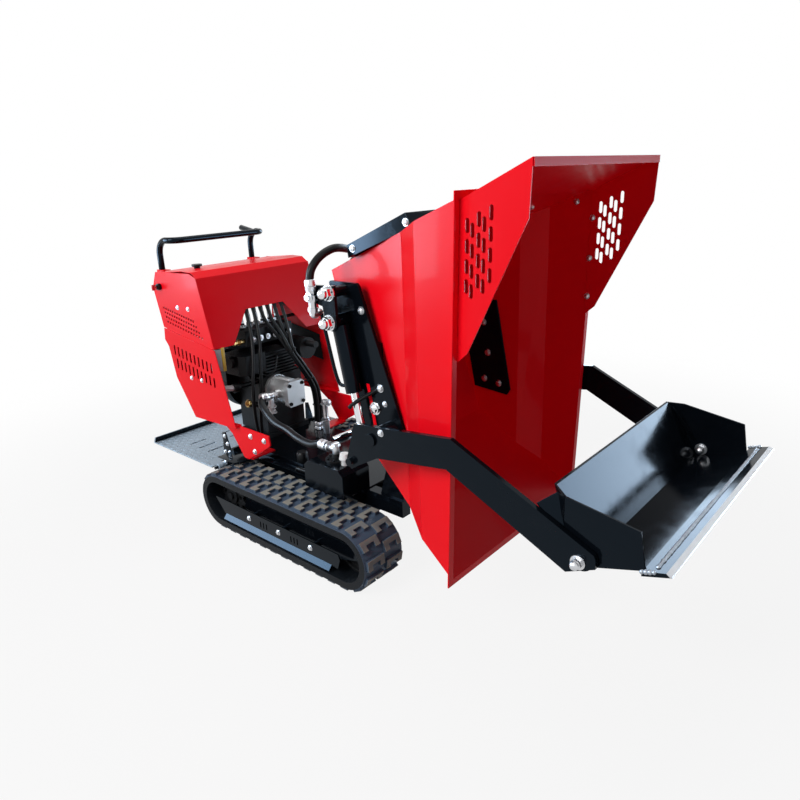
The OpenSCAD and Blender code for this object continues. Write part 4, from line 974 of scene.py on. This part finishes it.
@dataclass
class SkipTrim:
    """Bolts of the skip and its guard."""

    bend_w: float = 305.0
    low_bend: float = 371.0
    slope: float = 0.168
    backing: float = 10.2
    inner_bolts: Route = ((596, 353.4, 1155), (593, 353.4, 1031), (592, 353.4, 909), (540, 353, 1203))

    def half_w(self, x: float) -> float:
        """Returns the skip's half width below its lower bend at a place along X."""
        return self.bend_w - self.slope * (self.low_bend - x)

    def build(self, shop: Workshop) -> None:
        """Builds the bolts.

        Args:
            shop: the workshop.
        """
        spots: list[Spot] = []
        for side in Side:
            for x, z in ((250, 592), (305, 580), (262, 690), (245, 800)):
                place = side.at(x, self.half_w(x) - self.backing, z)
                spots.append((place, Vector((-self.slope, -side.value, 0)), 9.5))
            spots += [(side.at(*p), -side.out, 7.5) for p in self.inner_bolts]
            spots.append((side.at(469, 199, 1195), Vector((0.357, 0, -0.934)), 7.5))
            spots += [(side.at(x, 300, z), side.out, 8.0) for x, z in ((185, 1110), (385, 1186))]
        shop.bolts("skip_bolts", spots, Body.SKIP)


@dataclass
class ShovelTrim:
    """Weld seam, ground tip, nuts and bolts of the shovel."""

    toe: Pair = (1114.2, 474.0)
    half_w: float = 418.0
    along: Pair = (0.9526, 0.3043)
    rise: Pair = (-0.3043, 0.9526)
    pin: Pair = (967.0, 448.0)
    bead: float = 5.6
    tip: Outline = ((57.2, 10.3), (67.5, 2.3), (67.8, -0.4), (64.0, -0.4))
    nut: tuple[Stage, ...] = (
        (0.0, 24, ((18.5, 0), (18.5, 3.5), (15.5, 3.6), (15.5, 5.5))),
        (5.5, 6, ((13.5, 0), (13.5, 11), (12.2, 12.5))),
        (18.0, 24, ((11.5, 0), (11, 4), (8.8, 7.5), (5, 9.8), (0.1, 10.5))))

    def _on_edge(self, far: float, up: float, y: float) -> Vector:
        """Returns a point of the cutting edge.

        Args:
            far: distance from the pan's toe along the edge plate.
            up: distance above the plate's underside.
            y: place across the machine.

        Returns:
            The point in metres.
        """
        x, z = (self.toe[k] + far * self.along[k] + up * self.rise[k] for k in range(2))
        return mm(x, y, z)

    def build(self, shop: Workshop) -> None:
        """Builds the seam, the ground tip and the fasteners.

        Args:
            shop: the workshop.
        """
        w, overlap = self.half_w, 0.2
        seam = [self._on_edge(31, 10.2, y) for y in range(-392, 393, 28)]
        ends = [[self._on_edge(d, 10.6, s * (w - 1)) for d in (4, 16, 31)] for s in (-1, 1)]
        shop.beads("cutting_edge_weld", [seam, *ends], self.bead, Body.SHOVEL)
        tip, nuts = bmesh.new(), bmesh.new()
        shop.slab(tip, [self._on_edge(d, u, -w - overlap) for d, u in self.tip], mm(0, 2 * (w + overlap), 0))
        shop.place("ground_tip", tip, Paint.STEEL, Body.SHOVEL)
        x, z = self.pin
        for side in Side:
            shop.stack(nuts, side.at(x, 411, z), side.out, self.nut)
            shop.stack(nuts, side.at(x + 18, 389, z + 10), -side.out, self.nut)
        shop.place("shovel_dome_nuts", nuts, Paint.STEEL, Body.SHOVEL, 40.0)
        shop.bolts("shovel_bolts", [(side.at(365, 411, 626), side.out, 8.0) for side in Side], Body.SHOVEL)


@dataclass
class LiftTrim:
    """Hard pipes, fittings, dome nuts and props of the lift gear."""

    nut_face: float = 382.0
    frame_face: float = 316.0
    nut: tuple[Stage, ...] = (
        (0.0, 24, ((23.5, 0), (23.5, 4))),
        (4.0, 6, ((18.5, 0), (19.5, 1), (19.5, 16), (17.5, 18))),
        (20.0, 24, ((15.5, 0), (15.5, 6), (14.5, 11), (11.5, 15), (6.5, 18), (0.1, 19))))
    low_nut: Outline = ((20, 0), (20, 3), (16.5, 3.2), (16.5, 8.5), (13.5, 8.7), (11.5, 11), (7, 12.4), (0.1, 12.8))
    upper_elbow: Outline = ((12.5, 0), (12.5, 12), (16.5, 12.2), (16.5, 30), (11.5, 31), (11.5, 44))
    lower_elbow: Outline = ((11.5, 0), (11.5, 6), (14.5, 6.5), (14.5, 20), (10, 21), (10, 30))
    elbow_cap: Outline = ((16.5, 0), (16.5, 12), (10, 14), (10, 20))
    pipe: Route = ((92, 352, 932), (98, 352, 900), (112, 352, 842), (132, 352, 762), (146, 352, 724), (158, 350, 713),
                   (176, 348, 715))
    bend: Route = ((100, 392, 934), (98, 388, 926), (95, 376, 924), (92, 362, 928), (92, 353, 934))
    strap: Route = ((283, 317, 716), (262, 322, 704), (232, 340, 684), (208, 362, 664), (200, 366, 654))
    prop: Outline = ((228, 722), (240, 722), (262, 596), (250, 596))
    bolts: Route = ((222, 939, 9.0), (283, 716, 9.0), (298, 671, 6.5), (186, 760, 7.0))

    def build(self, shop: Workshop) -> None:
        """Builds the pieces on both sides.

        Args:
            shop: the workshop.
        """
        nuts, pipes, elbows, props, straps = (bmesh.new() for _ in range(5))
        spots: list[Spot] = []
        for side in Side:
            for x, z in ((163, 995), (159, 909)):
                shop.stack(nuts, side.at(x, self.nut_face, z), side.out, self.nut)
            shop.lathe(nuts, side.at(260, self.frame_face, 650), side.out, self.low_nut)
            shop.sweep(pipes, shop.eased(self.pipe, side), 5.5, 12)
            shop.lathe(elbows, side.at(104, 394, 998), -UP, self.upper_elbow, 6)
            shop.lathe(elbows, side.at(103, 392, 956), Vector((-0.1, 0, -1)), self.lower_elbow, 6)
            shop.lathe(elbows, side.at(102, 394, 980), side.out, self.elbow_cap, 6)
            shop.sweep(elbows, shop.eased(self.bend, side), 9.5, 12)
            path = shop.eased(self.strap, side)
            shop.sweep(straps, path, [5.5 + 1.2 * (k % 2) for k in range(len(path))], 10)
            shop.plate(props, side, self.prop, self.frame_face, 1.5, 0.4)
            spots += [(side.at(x, self.frame_face, z), side.out, r) for x, z, r in self.bolts]
        shop.place("lift_dome_nuts", nuts, Paint.CHROME, Body.SKIP, 40.0)
        shop.place("lift_hard_pipes", pipes, Paint.BLACK, Body.LIFT_TUBES)
        shop.place("lift_elbows", elbows, Paint.STEEL, Body.SKIP)
        shop.place("lift_straps", straps, Paint.PLASTIC, Body.SKIP)
        shop.place("lift_props", props, Paint.RED, Body.SKIP)
        shop.bolts("lift_frame_bolts", spots, Body.SKIP)


@dataclass
class ChassisTrim:
    """Bolts, thin plates and deck lines of the chassis."""

    bolt_rows: tuple[tuple[float, float, Outline], ...] = (
        (370.0, 8.0, ((-376.5, 93), (-205, 93), (-33.5, 93))),
        (281.0, 6.8, ((-820, 838), (-747, 839), (-788, 555), (-717, 556))),
        (262.0, 8.5, ((-461, 371), (-379, 371), (-443, 312))),
        (228.5, 7.0, ((-703, 190), (-690, 308), (-676, 276), (-668, 240), (-698, 236), (-655, 218))))
    strap: Outline = ((-712, 204), (-704, 322), (-684, 326), (-644, 214), (-652, 196), (-690, 192))
    wing: Outline = ((-655, 171), (-655, 296), (-545, 296), (-500, 203), (-140, 203), (-140, 171))
    skirt: Outline = ((-636, 168), (-60, 168), (-60, 244), (-636, 244))
    hose: Route = ((-294, -190, 247), (-286, -190, 258), (-262, -190, 258), (-215, -188, 259), (-172, -187, 266),
                   (-148, -187, 280), (-129, -187, 285))
    wrap_from: int = 14

    def build(self, shop: Workshop) -> None:
        """Builds the bolts, plates and lines.

        Args:
            shop: the workshop.
        """
        spots: list[Spot] = []
        plates = bmesh.new()
        for side in Side:
            for face, radius, places in self.bolt_rows:
                spots += [(side.at(x, face, z), side.out, radius) for x, z in places]
            spots += [(side.at(-650, 190, z), -FORE, 9.0) for z in (200, 240)]
            shop.plate(plates, side, self.strap, 224.5, 4.0, 0.6)
            shop.slab(plates, [side.at(x, y, 246) for x, y in self.wing], mm(0, 0, 3), 0.5)
            shop.plate(plates, side, self.skirt, 170.6, 2.5, 0.5)
        shop.bolts("chassis_bolts", spots, Body.CHASSIS)
        shop.place("hinge_straps_and_deck_wings", plates, Paint.BLACK, Body.CHASSIS)
        self._deck_lines(shop)

    def _deck_lines(self, shop: Workshop) -> None:
        """Adds the bright rod on the deck, and the wrapped hose from the right wing to the oil tank."""
        hose, wrap, rod = (bmesh.new() for _ in range(3))
        shop.lathe(rod, mm(-350, 58, 281), -RIGHT, ((8, 0), (9, 1), (9, 104), (8, 105)))
        shop.place("deck_rod", rod, Paint.CHROME, Body.CHASSIS)
        path = shop.eased(self.hose, steps=10)
        shop.sweep(hose, path, 6.5, 12)
        for k in range(self.wrap_from, len(path) - 1):
            shop.ring(wrap, path[k], path[k + 1] - path[k - 1], 6.8, 1.8, 18)
        shop.place("deck_hose", hose, Paint.HOSE, Body.CHASSIS)
        shop.place("deck_hose_wrap", wrap, Paint.HOSE, Body.CHASSIS, 60.0)


@dataclass
class VentShadeSheets:
    """Dark sheets behind the panels' vents, painted shade for the dark bay seen through them."""

    face: float = 274.5
    thick: float = 1.0
    upper: Outline = ((-950, 842), (-708, 804), (-660, 724), (-930, 766))
    lower: Outline = ((-928, 694), (-626, 645), (-610, 530), (-896, 572))

    def build(self, shop: Workshop) -> None:
        """Builds the painted-shade sheets.

        Args:
            shop: the workshop.
        """
        # Near-black sheets stand in for the shade inside the bay behind the vents.
        bm = bmesh.new()
        for side in Side:
            for outline in (self.upper, self.lower):
                shop.plate(bm, side, outline, self.face, -self.thick)
        shop.place("vent_linings", bm, Paint.SHADE, Body.CHASSIS)


@dataclass
class EngineTrim:
    """Small parts of the engine bay."""

    valve: Pair = (-680.0, 672.0)
    valve_front: float = -608.0
    pump: Triple = (-448.0, -30.0, 485.0)
    screw: Outline = ((7.4, -4), (7.4, 4.5), (6.6, 5.5), (4.2, 5.5), (4, 1), (0.1, 1))
    tap: Outline = ((9, 0), (9, 14), (12.5, 14.5), (12.5, 26), (8, 26.5), (8, 40), (10, 40.5), (10, 50))
    oil_cap: Outline = ((14, 0), (15.5, 2), (15.5, 11), (12, 14), (5, 14.5), (5, 20))
    filler: Outline = ((12, 0), (11, 50), (13, 51), (13, 66))
    filter_head: Outline = ((10, 0), (10, 100), (17, 102), (18, 108), (18, 128), (16, 131))
    filter_bowl: Outline = ((10.5, 0), (11.5, 3), (11.5, 36), (9, 40))
    lead: Route = ((-600, 10, 600), (-588, 0, 612), (-572, -16, 600), (-566, -34, 566), (-574, -56, 548),
                   (-600, -66, 524))

    def build(self, shop: Workshop) -> None:
        """Builds the fittings, screws, caps and the control box.

        Args:
            shop: the workshop.
        """
        self._fittings(shop)
        self._pump_screws(shop)
        self._service_points(shop)
        self._control_box(shop)

    def _fittings(self, shop: Workshop) -> None:
        """Sets hexagons on the valve, pump and tank fittings."""
        x, z = self.valve
        spots = [(mm(x, y, z + 68), UP, 12.5) for y in PORTS]
        spots += [(mm(self.valve_front, y, z + 26), FORE, 8.5) for y in PORTS]
        spots += [(mm(-508, -94, 485), RIGHT, 16.5), (mm(-508, -113, 440), UP, 14.5), (mm(-508, -113, 416), UP, 14.5),
                  (mm(-440, 110, 330), UP, 16.0), (mm(-440, 110, 402), UP, 14.5), (mm(-419, 110, 410), FORE, 11.5),
                  (mm(-30, -222, 427), UP, 13.5), (mm(-62, -222, 414), -FORE, 14.5)]
        shop.bolts("hydraulic_hexagons", spots, Body.CHASSIS)

    def _pump_screws(self, shop: Workshop) -> None:
        """Sets dark socket screws in the pump's end plate."""
        bm = bmesh.new()
        x, y, z = self.pump
        for dy in (-32, 32):
            for dz in (-38, 38):
                shop.lathe(bm, mm(x, y + dy, z + dz), FORE, self.screw)
        shop.place("pump_screws", bm, Paint.CAST, Body.CHASSIS)

    def _service_points(self, shop: Workshop) -> None:
        """Adds the brass tap, the white filter, the oil filler with its gold cap and the spark lead."""
        brass, white, dark, lead = (bmesh.new() for _ in range(4))
        tilt = Vector((0, -1, 0.35))
        shop.lathe(brass, mm(-640, -120, 692), RIGHT, self.tap, 6)
        shop.lathe(brass, mm(-622, -136, 436), tilt, self.oil_cap, 18)
        shop.lathe(dark, mm(-622, -74, 414), tilt, self.filler, 18)
        shop.lathe(dark, mm(-625, -74, 518), RIGHT, self.filter_head)
        shop.lathe(white, mm(-625, -205, 521), Vector((0, -1, 0.2)), self.filter_bowl)
        shop.sweep(lead, shop.eased(self.lead), 3.8, 10)
        shop.place("brass_tap_and_oil_cap", brass, Paint.BRASS, Body.CHASSIS)
        shop.place("white_filter", white, Paint.WHITE, Body.CHASSIS)
        shop.place("filler_neck_and_filter_head", dark, Paint.PLASTIC, Body.CHASSIS)
        shop.place("spark_lead", lead, Paint.HOSE, Body.CHASSIS)

    @staticmethod
    def _control_box(shop: Workshop) -> None:
        """Adds the small grey box with its yellow edge inside the right panel."""
        for name, paint, (x0, x1), (y0, y1), z, height, bevel in (
                ("control_box", Paint.GREY, (-644, -606), (-277, -250), 606, 88, 2.0),
                ("control_box_edge", Paint.YELLOW, (-640, -604), (-249.8, -236), 604, 94, 1.0)):
            bm = bmesh.new()
            shop.slab(bm, [mm(x0, y0, z), mm(x1, y0, z), mm(x1, y1, z), mm(x0, y1, z)], mm(0, 0, height), bevel)
            shop.place(name, bm, paint, Body.CHASSIS)


@dataclass
class PlatformTrim:
    """Slot linings and lip strip, both painted shade, and raised ribs of the foot platform.

    The ribs leave bare patches where the hinge plates fold against the platform.
    """

    slot_half: Pair = (9.0, 50.0)
    slot_xs: Triple = (-1010, -940, -870)
    slot_ys: Triple = (-163, 0, 163)
    slot_z: float = 178.2
    lip_low: Pair = (-1168.0, 179.0)
    lip_high: Pair = (-1154.0, 210.0)
    lip_half: float = 289.0
    lip_thick: float = 0.9
    lip_ribs: int = 24
    pitch: float = 22.0
    rows: int = 20
    columns: int = 26
    corner: Triple = (-1146.0, -280.0, 184.0)
    bare_x: float = -790.0
    bare_y: Pair = (176.0, 262.0)

    def build(self, shop: Workshop) -> None:
        """Builds the slot linings and the lip strip, which are painted shade, and the ribs.

        Args:
            shop: the workshop.
        """
        # Dark slabs just under the slots are painted shade, where the ground's shadow shows through.
        dark = bmesh.new()
        a, b = self.slot_half
        for x in self.slot_xs:
            for y in self.slot_ys:
                corners = ((x - a, y - b), (x + a, y - b), (x + a, y + b), (x - a, y + b))
                shop.slab(dark, [mm(*p, self.slot_z) for p in corners], mm(0, 0, 0.6))
        shop.place("platform_slot_linings", dark, Paint.SHADE, Body.PLATFORM)
        self._lip(shop)
        self._tread(shop)

    def _lip(self, shop: Workshop) -> None:
        """Covers the upturned tread-plate lip with a black strip and black slanted ribs, painted shade on the lip's
        face.
        """
        (x0, z0), (x1, z1), y = self.lip_low, self.lip_high, self.lip_half
        gap, pitch, slant = 0.2, 24, math.radians(35)
        # The black strip and ribs are painted shade: the lip is the same tread plate as the deck, dark only in shade.
        cover = bmesh.new()
        face = [mm(x + gap, s * y, z) for x, z, s in ((x0, z0, -1), (x0, z0, 1), (x1, z1, 1), (x1, z1, -1))]
        shop.slab(cover, face, mm(self.lip_thick, 0, 0))
        shop.place("platform_lip_strip", cover, Paint.BLACK, Body.PLATFORM)
        tilt = Matrix.Rotation(math.atan2(z1 - z0, x0 - x1), 3, "Y") @ Matrix.Rotation(slant, 3, "Z")
        spots = [mm((x0 + x1) / 2 + self.lip_thick, -276 + pitch * k, (z0 + z1) / 2) for k in range(self.lip_ribs)]
        turns = [Vector(tilt.to_euler("XYZ"))] * len(spots)
        shop.ribs("platform_lip_ribs", spots, turns, 15.0, Paint.BLACK, Body.PLATFORM)

    def _tread(self, shop: Workshop) -> None:
        """Sets the tread's ribs, turned to and fro."""
        spots: list[Vector] = []
        turns: list[Vector] = []
        x0, y0, z = self.corner
        for i in range(self.rows):
            for j in range(self.columns):
                x, y = x0 + i * self.pitch, y0 + j * self.pitch
                if x <= self.bare_x or not self.bare_y[0] < abs(y) < self.bare_y[1]:
                    spots.append(mm(x, y, z))
                    turns.append(Vector((0, 0, math.radians(45 if (i + j) % 2 else -45))))
        shop.ribs("platform_tread_ribs", spots, turns, 11.0, Paint.TREAD, Body.PLATFORM)


# Studio


@dataclass(frozen=True)
class StudioCamera:
    """Camera fitted to the photograph."""

    place: Triple = (1.540, -1.659, 1.307)
    yaw: float = 131.37
    pitch: float = -18.87
    roll: float = -2.12
    focal_px: float = 662.7
    frame_px: float = 800.0
    sensor: float = 36.0
    far: float = 60.0

    def build(self) -> None:
        """Makes the camera and sets it as the scene's."""
        yaw, pitch, roll = (math.radians(a) for a in (self.yaw, self.pitch, self.roll))
        ahead = Vector((math.cos(pitch) * math.cos(yaw), math.cos(pitch) * math.sin(yaw), math.sin(pitch)))
        right = ahead.cross(UP).normalized()
        up = right.cross(ahead)
        c, s = math.cos(roll), math.sin(roll)
        right, up = c * right + s * up, -s * right + c * up
        data = bpy.data.cameras.new("studio_camera")
        data.sensor_width = self.sensor
        data.lens = self.sensor * self.focal_px / self.frame_px
        data.clip_end = self.far
        camera = bpy.data.objects.new("studio_camera", data)
        turn = Matrix((right, up, -ahead)).transposed().to_4x4()
        camera.matrix_world = Matrix.Translation(self.place) @ turn
        bpy.context.scene.collection.objects.link(camera)
        bpy.context.scene.camera = camera


@dataclass(frozen=True)
class Lamp:
    """One soft area lamp, in metres and watts, that may show only in gloss, as a pale sky does in glossy paint."""

    name: str
    place: Triple
    aim: Triple
    size: float
    power: float
    colour: Triple = (1.0, 1.0, 1.0)
    gloss_only: bool = False

    def build(self) -> None:
        """Makes the lamp and turns it to its aim."""
        data = bpy.data.lights.new(self.name, "AREA")
        data.size = self.size
        data.energy = self.power
        data.color = self.colour
        lamp = bpy.data.objects.new(self.name, data)
        lamp.location = self.place
        lamp.visible_camera = False
        lamp.visible_diffuse = not self.gloss_only
        lamp.rotation_euler = (Vector(self.aim) - Vector(self.place)).to_track_quat("-Z", "Y").to_euler()
        bpy.context.scene.collection.objects.link(lamp)


@dataclass(frozen=True)
class Studio:
    """Pale floor, soft lights and a white background."""

    floor_half: float = 14.0
    floor_colour: Triple = (0.45, 0.45, 0.45)
    white_share: float = 0.88
    fade_from: float = 1.2
    fade_to: float = 3.2
    ambient: float = 0.23
    ambient_colour: Triple = (0.93, 0.96, 1.0)
    sky: Triple = (0.62, 0.8, 1.0)

    def build(self) -> None:
        """Makes the floor, world and lamps."""
        self._world()
        self._floor()
        for lamp in (
                Lamp("key_light", (-0.5, -4.2, 3.3), (0.0, 0.0, 0.6), 2.4, 190.0),
                Lamp("top_light", (-0.6, 0.6, 4.8), (0.0, 0.0, 0.4), 3.0, 60.0),
                Lamp("front_light", (4.4, -1.2, 2.6), (0.3, 0.0, 0.5), 2.0, 5.0),
                Lamp("guard_gloss", (-2.05, -1.83, 1.2), (-0.23, -0.38, 0.06), 1.4, 130.0, self.sky, True),
                Lamp("pan_gloss", (2.25, 2.1, 0.72), (0.92, 0.0, 0.5), 1.2, 50.0, self.sky, True),
                Lamp("edge_gloss", (-0.7, 2.5, 1.35), (1.1, -0.3, 0.46), 1.5, 60.0, self.sky, True)):
            lamp.build()

    @staticmethod
    def _seen(w: NodeWeaver) -> Socket:
        """Returns a value that is 1 for camera, glossy and transmission rays.

        Args:
            w: the weaver of the tree.

        Returns:
            The output socket.
        """
        path = w.add("ShaderNodeLightPath").outputs
        mirrored = w.math("MAXIMUM", path["Is Camera Ray"], path["Is Glossy Ray"])
        return w.math("MAXIMUM", mirrored, path["Is Transmission Ray"])

    def _world(self) -> None:
        """Makes a white surround for what is seen and mirrored, and a plain one for the light."""
        world = bpy.data.worlds.new("studio_world")
        w = blank_nodes(world)
        seen = w.add("ShaderNodeBackground", {"Color": (1.0, 1.0, 1.0, 1.0), "Strength": 1.0})
        lit = w.add("ShaderNodeBackground", {"Color": (*self.ambient_colour, 1.0), "Strength": self.ambient})
        w.add("ShaderNodeOutputWorld", {"Surface": w.blend(self._seen(w), lit.outputs[0], seen.outputs[0])})
        bpy.context.scene.world = world

    def _floor(self) -> None:
        """Makes the white floor, which fades into the surround away from the carrier."""
        mesh = bpy.data.meshes.new("studio_floor")
        h = self.floor_half
        mesh.from_pydata([(-h, -h, 0), (h, -h, 0), (h, h, 0), (-h, h, 0)], [], [(0, 1, 2, 3)])
        floor = bpy.data.objects.new("studio_floor", mesh)
        bpy.context.scene.collection.objects.link(floor)
        material = bpy.data.materials.new("white_floor")
        w = blank_nodes(material)
        plain = w.add("ShaderNodeBsdfDiffuse", {"Color": (*self.floor_colour, 1.0)}).outputs[0]
        white = w.add("ShaderNodeEmission").outputs[0]
        clear = w.add("ShaderNodeBsdfTransparent").outputs[0]
        lit = w.blend(w.math("MULTIPLY", self._seen(w), self.white_share), plain, white)
        reach = w.length(w.add("ShaderNodeTexCoord").outputs["Object"])
        fade = w.blend(w.span(reach, self.fade_from, self.fade_to, "SMOOTHSTEP"), lit, clear)
        w.add("ShaderNodeOutputMaterial", {"Surface": fade})
        mesh.materials.append(material)


def main() -> None:
    """Builds the studio, dresses the nodes and adds the pieces."""
    logging.basicConfig(level=logging.INFO, format="%(name)s: %(message)s")
    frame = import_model()
    bpy.context.scene.view_settings.view_transform = "Standard"
    StudioCamera().build()
    Studio().build()
    shop = Workshop(frame)
    for assembly in (NodeDresser(), Hoses(), GuardSheets(), SkipTrim(), ShovelTrim(), LiftTrim(), ChassisTrim(),
                     VentShadeSheets(), EngineTrim(), PlatformTrim()):
        assembly.build(shop)


if __name__ == "__main__":
    main()
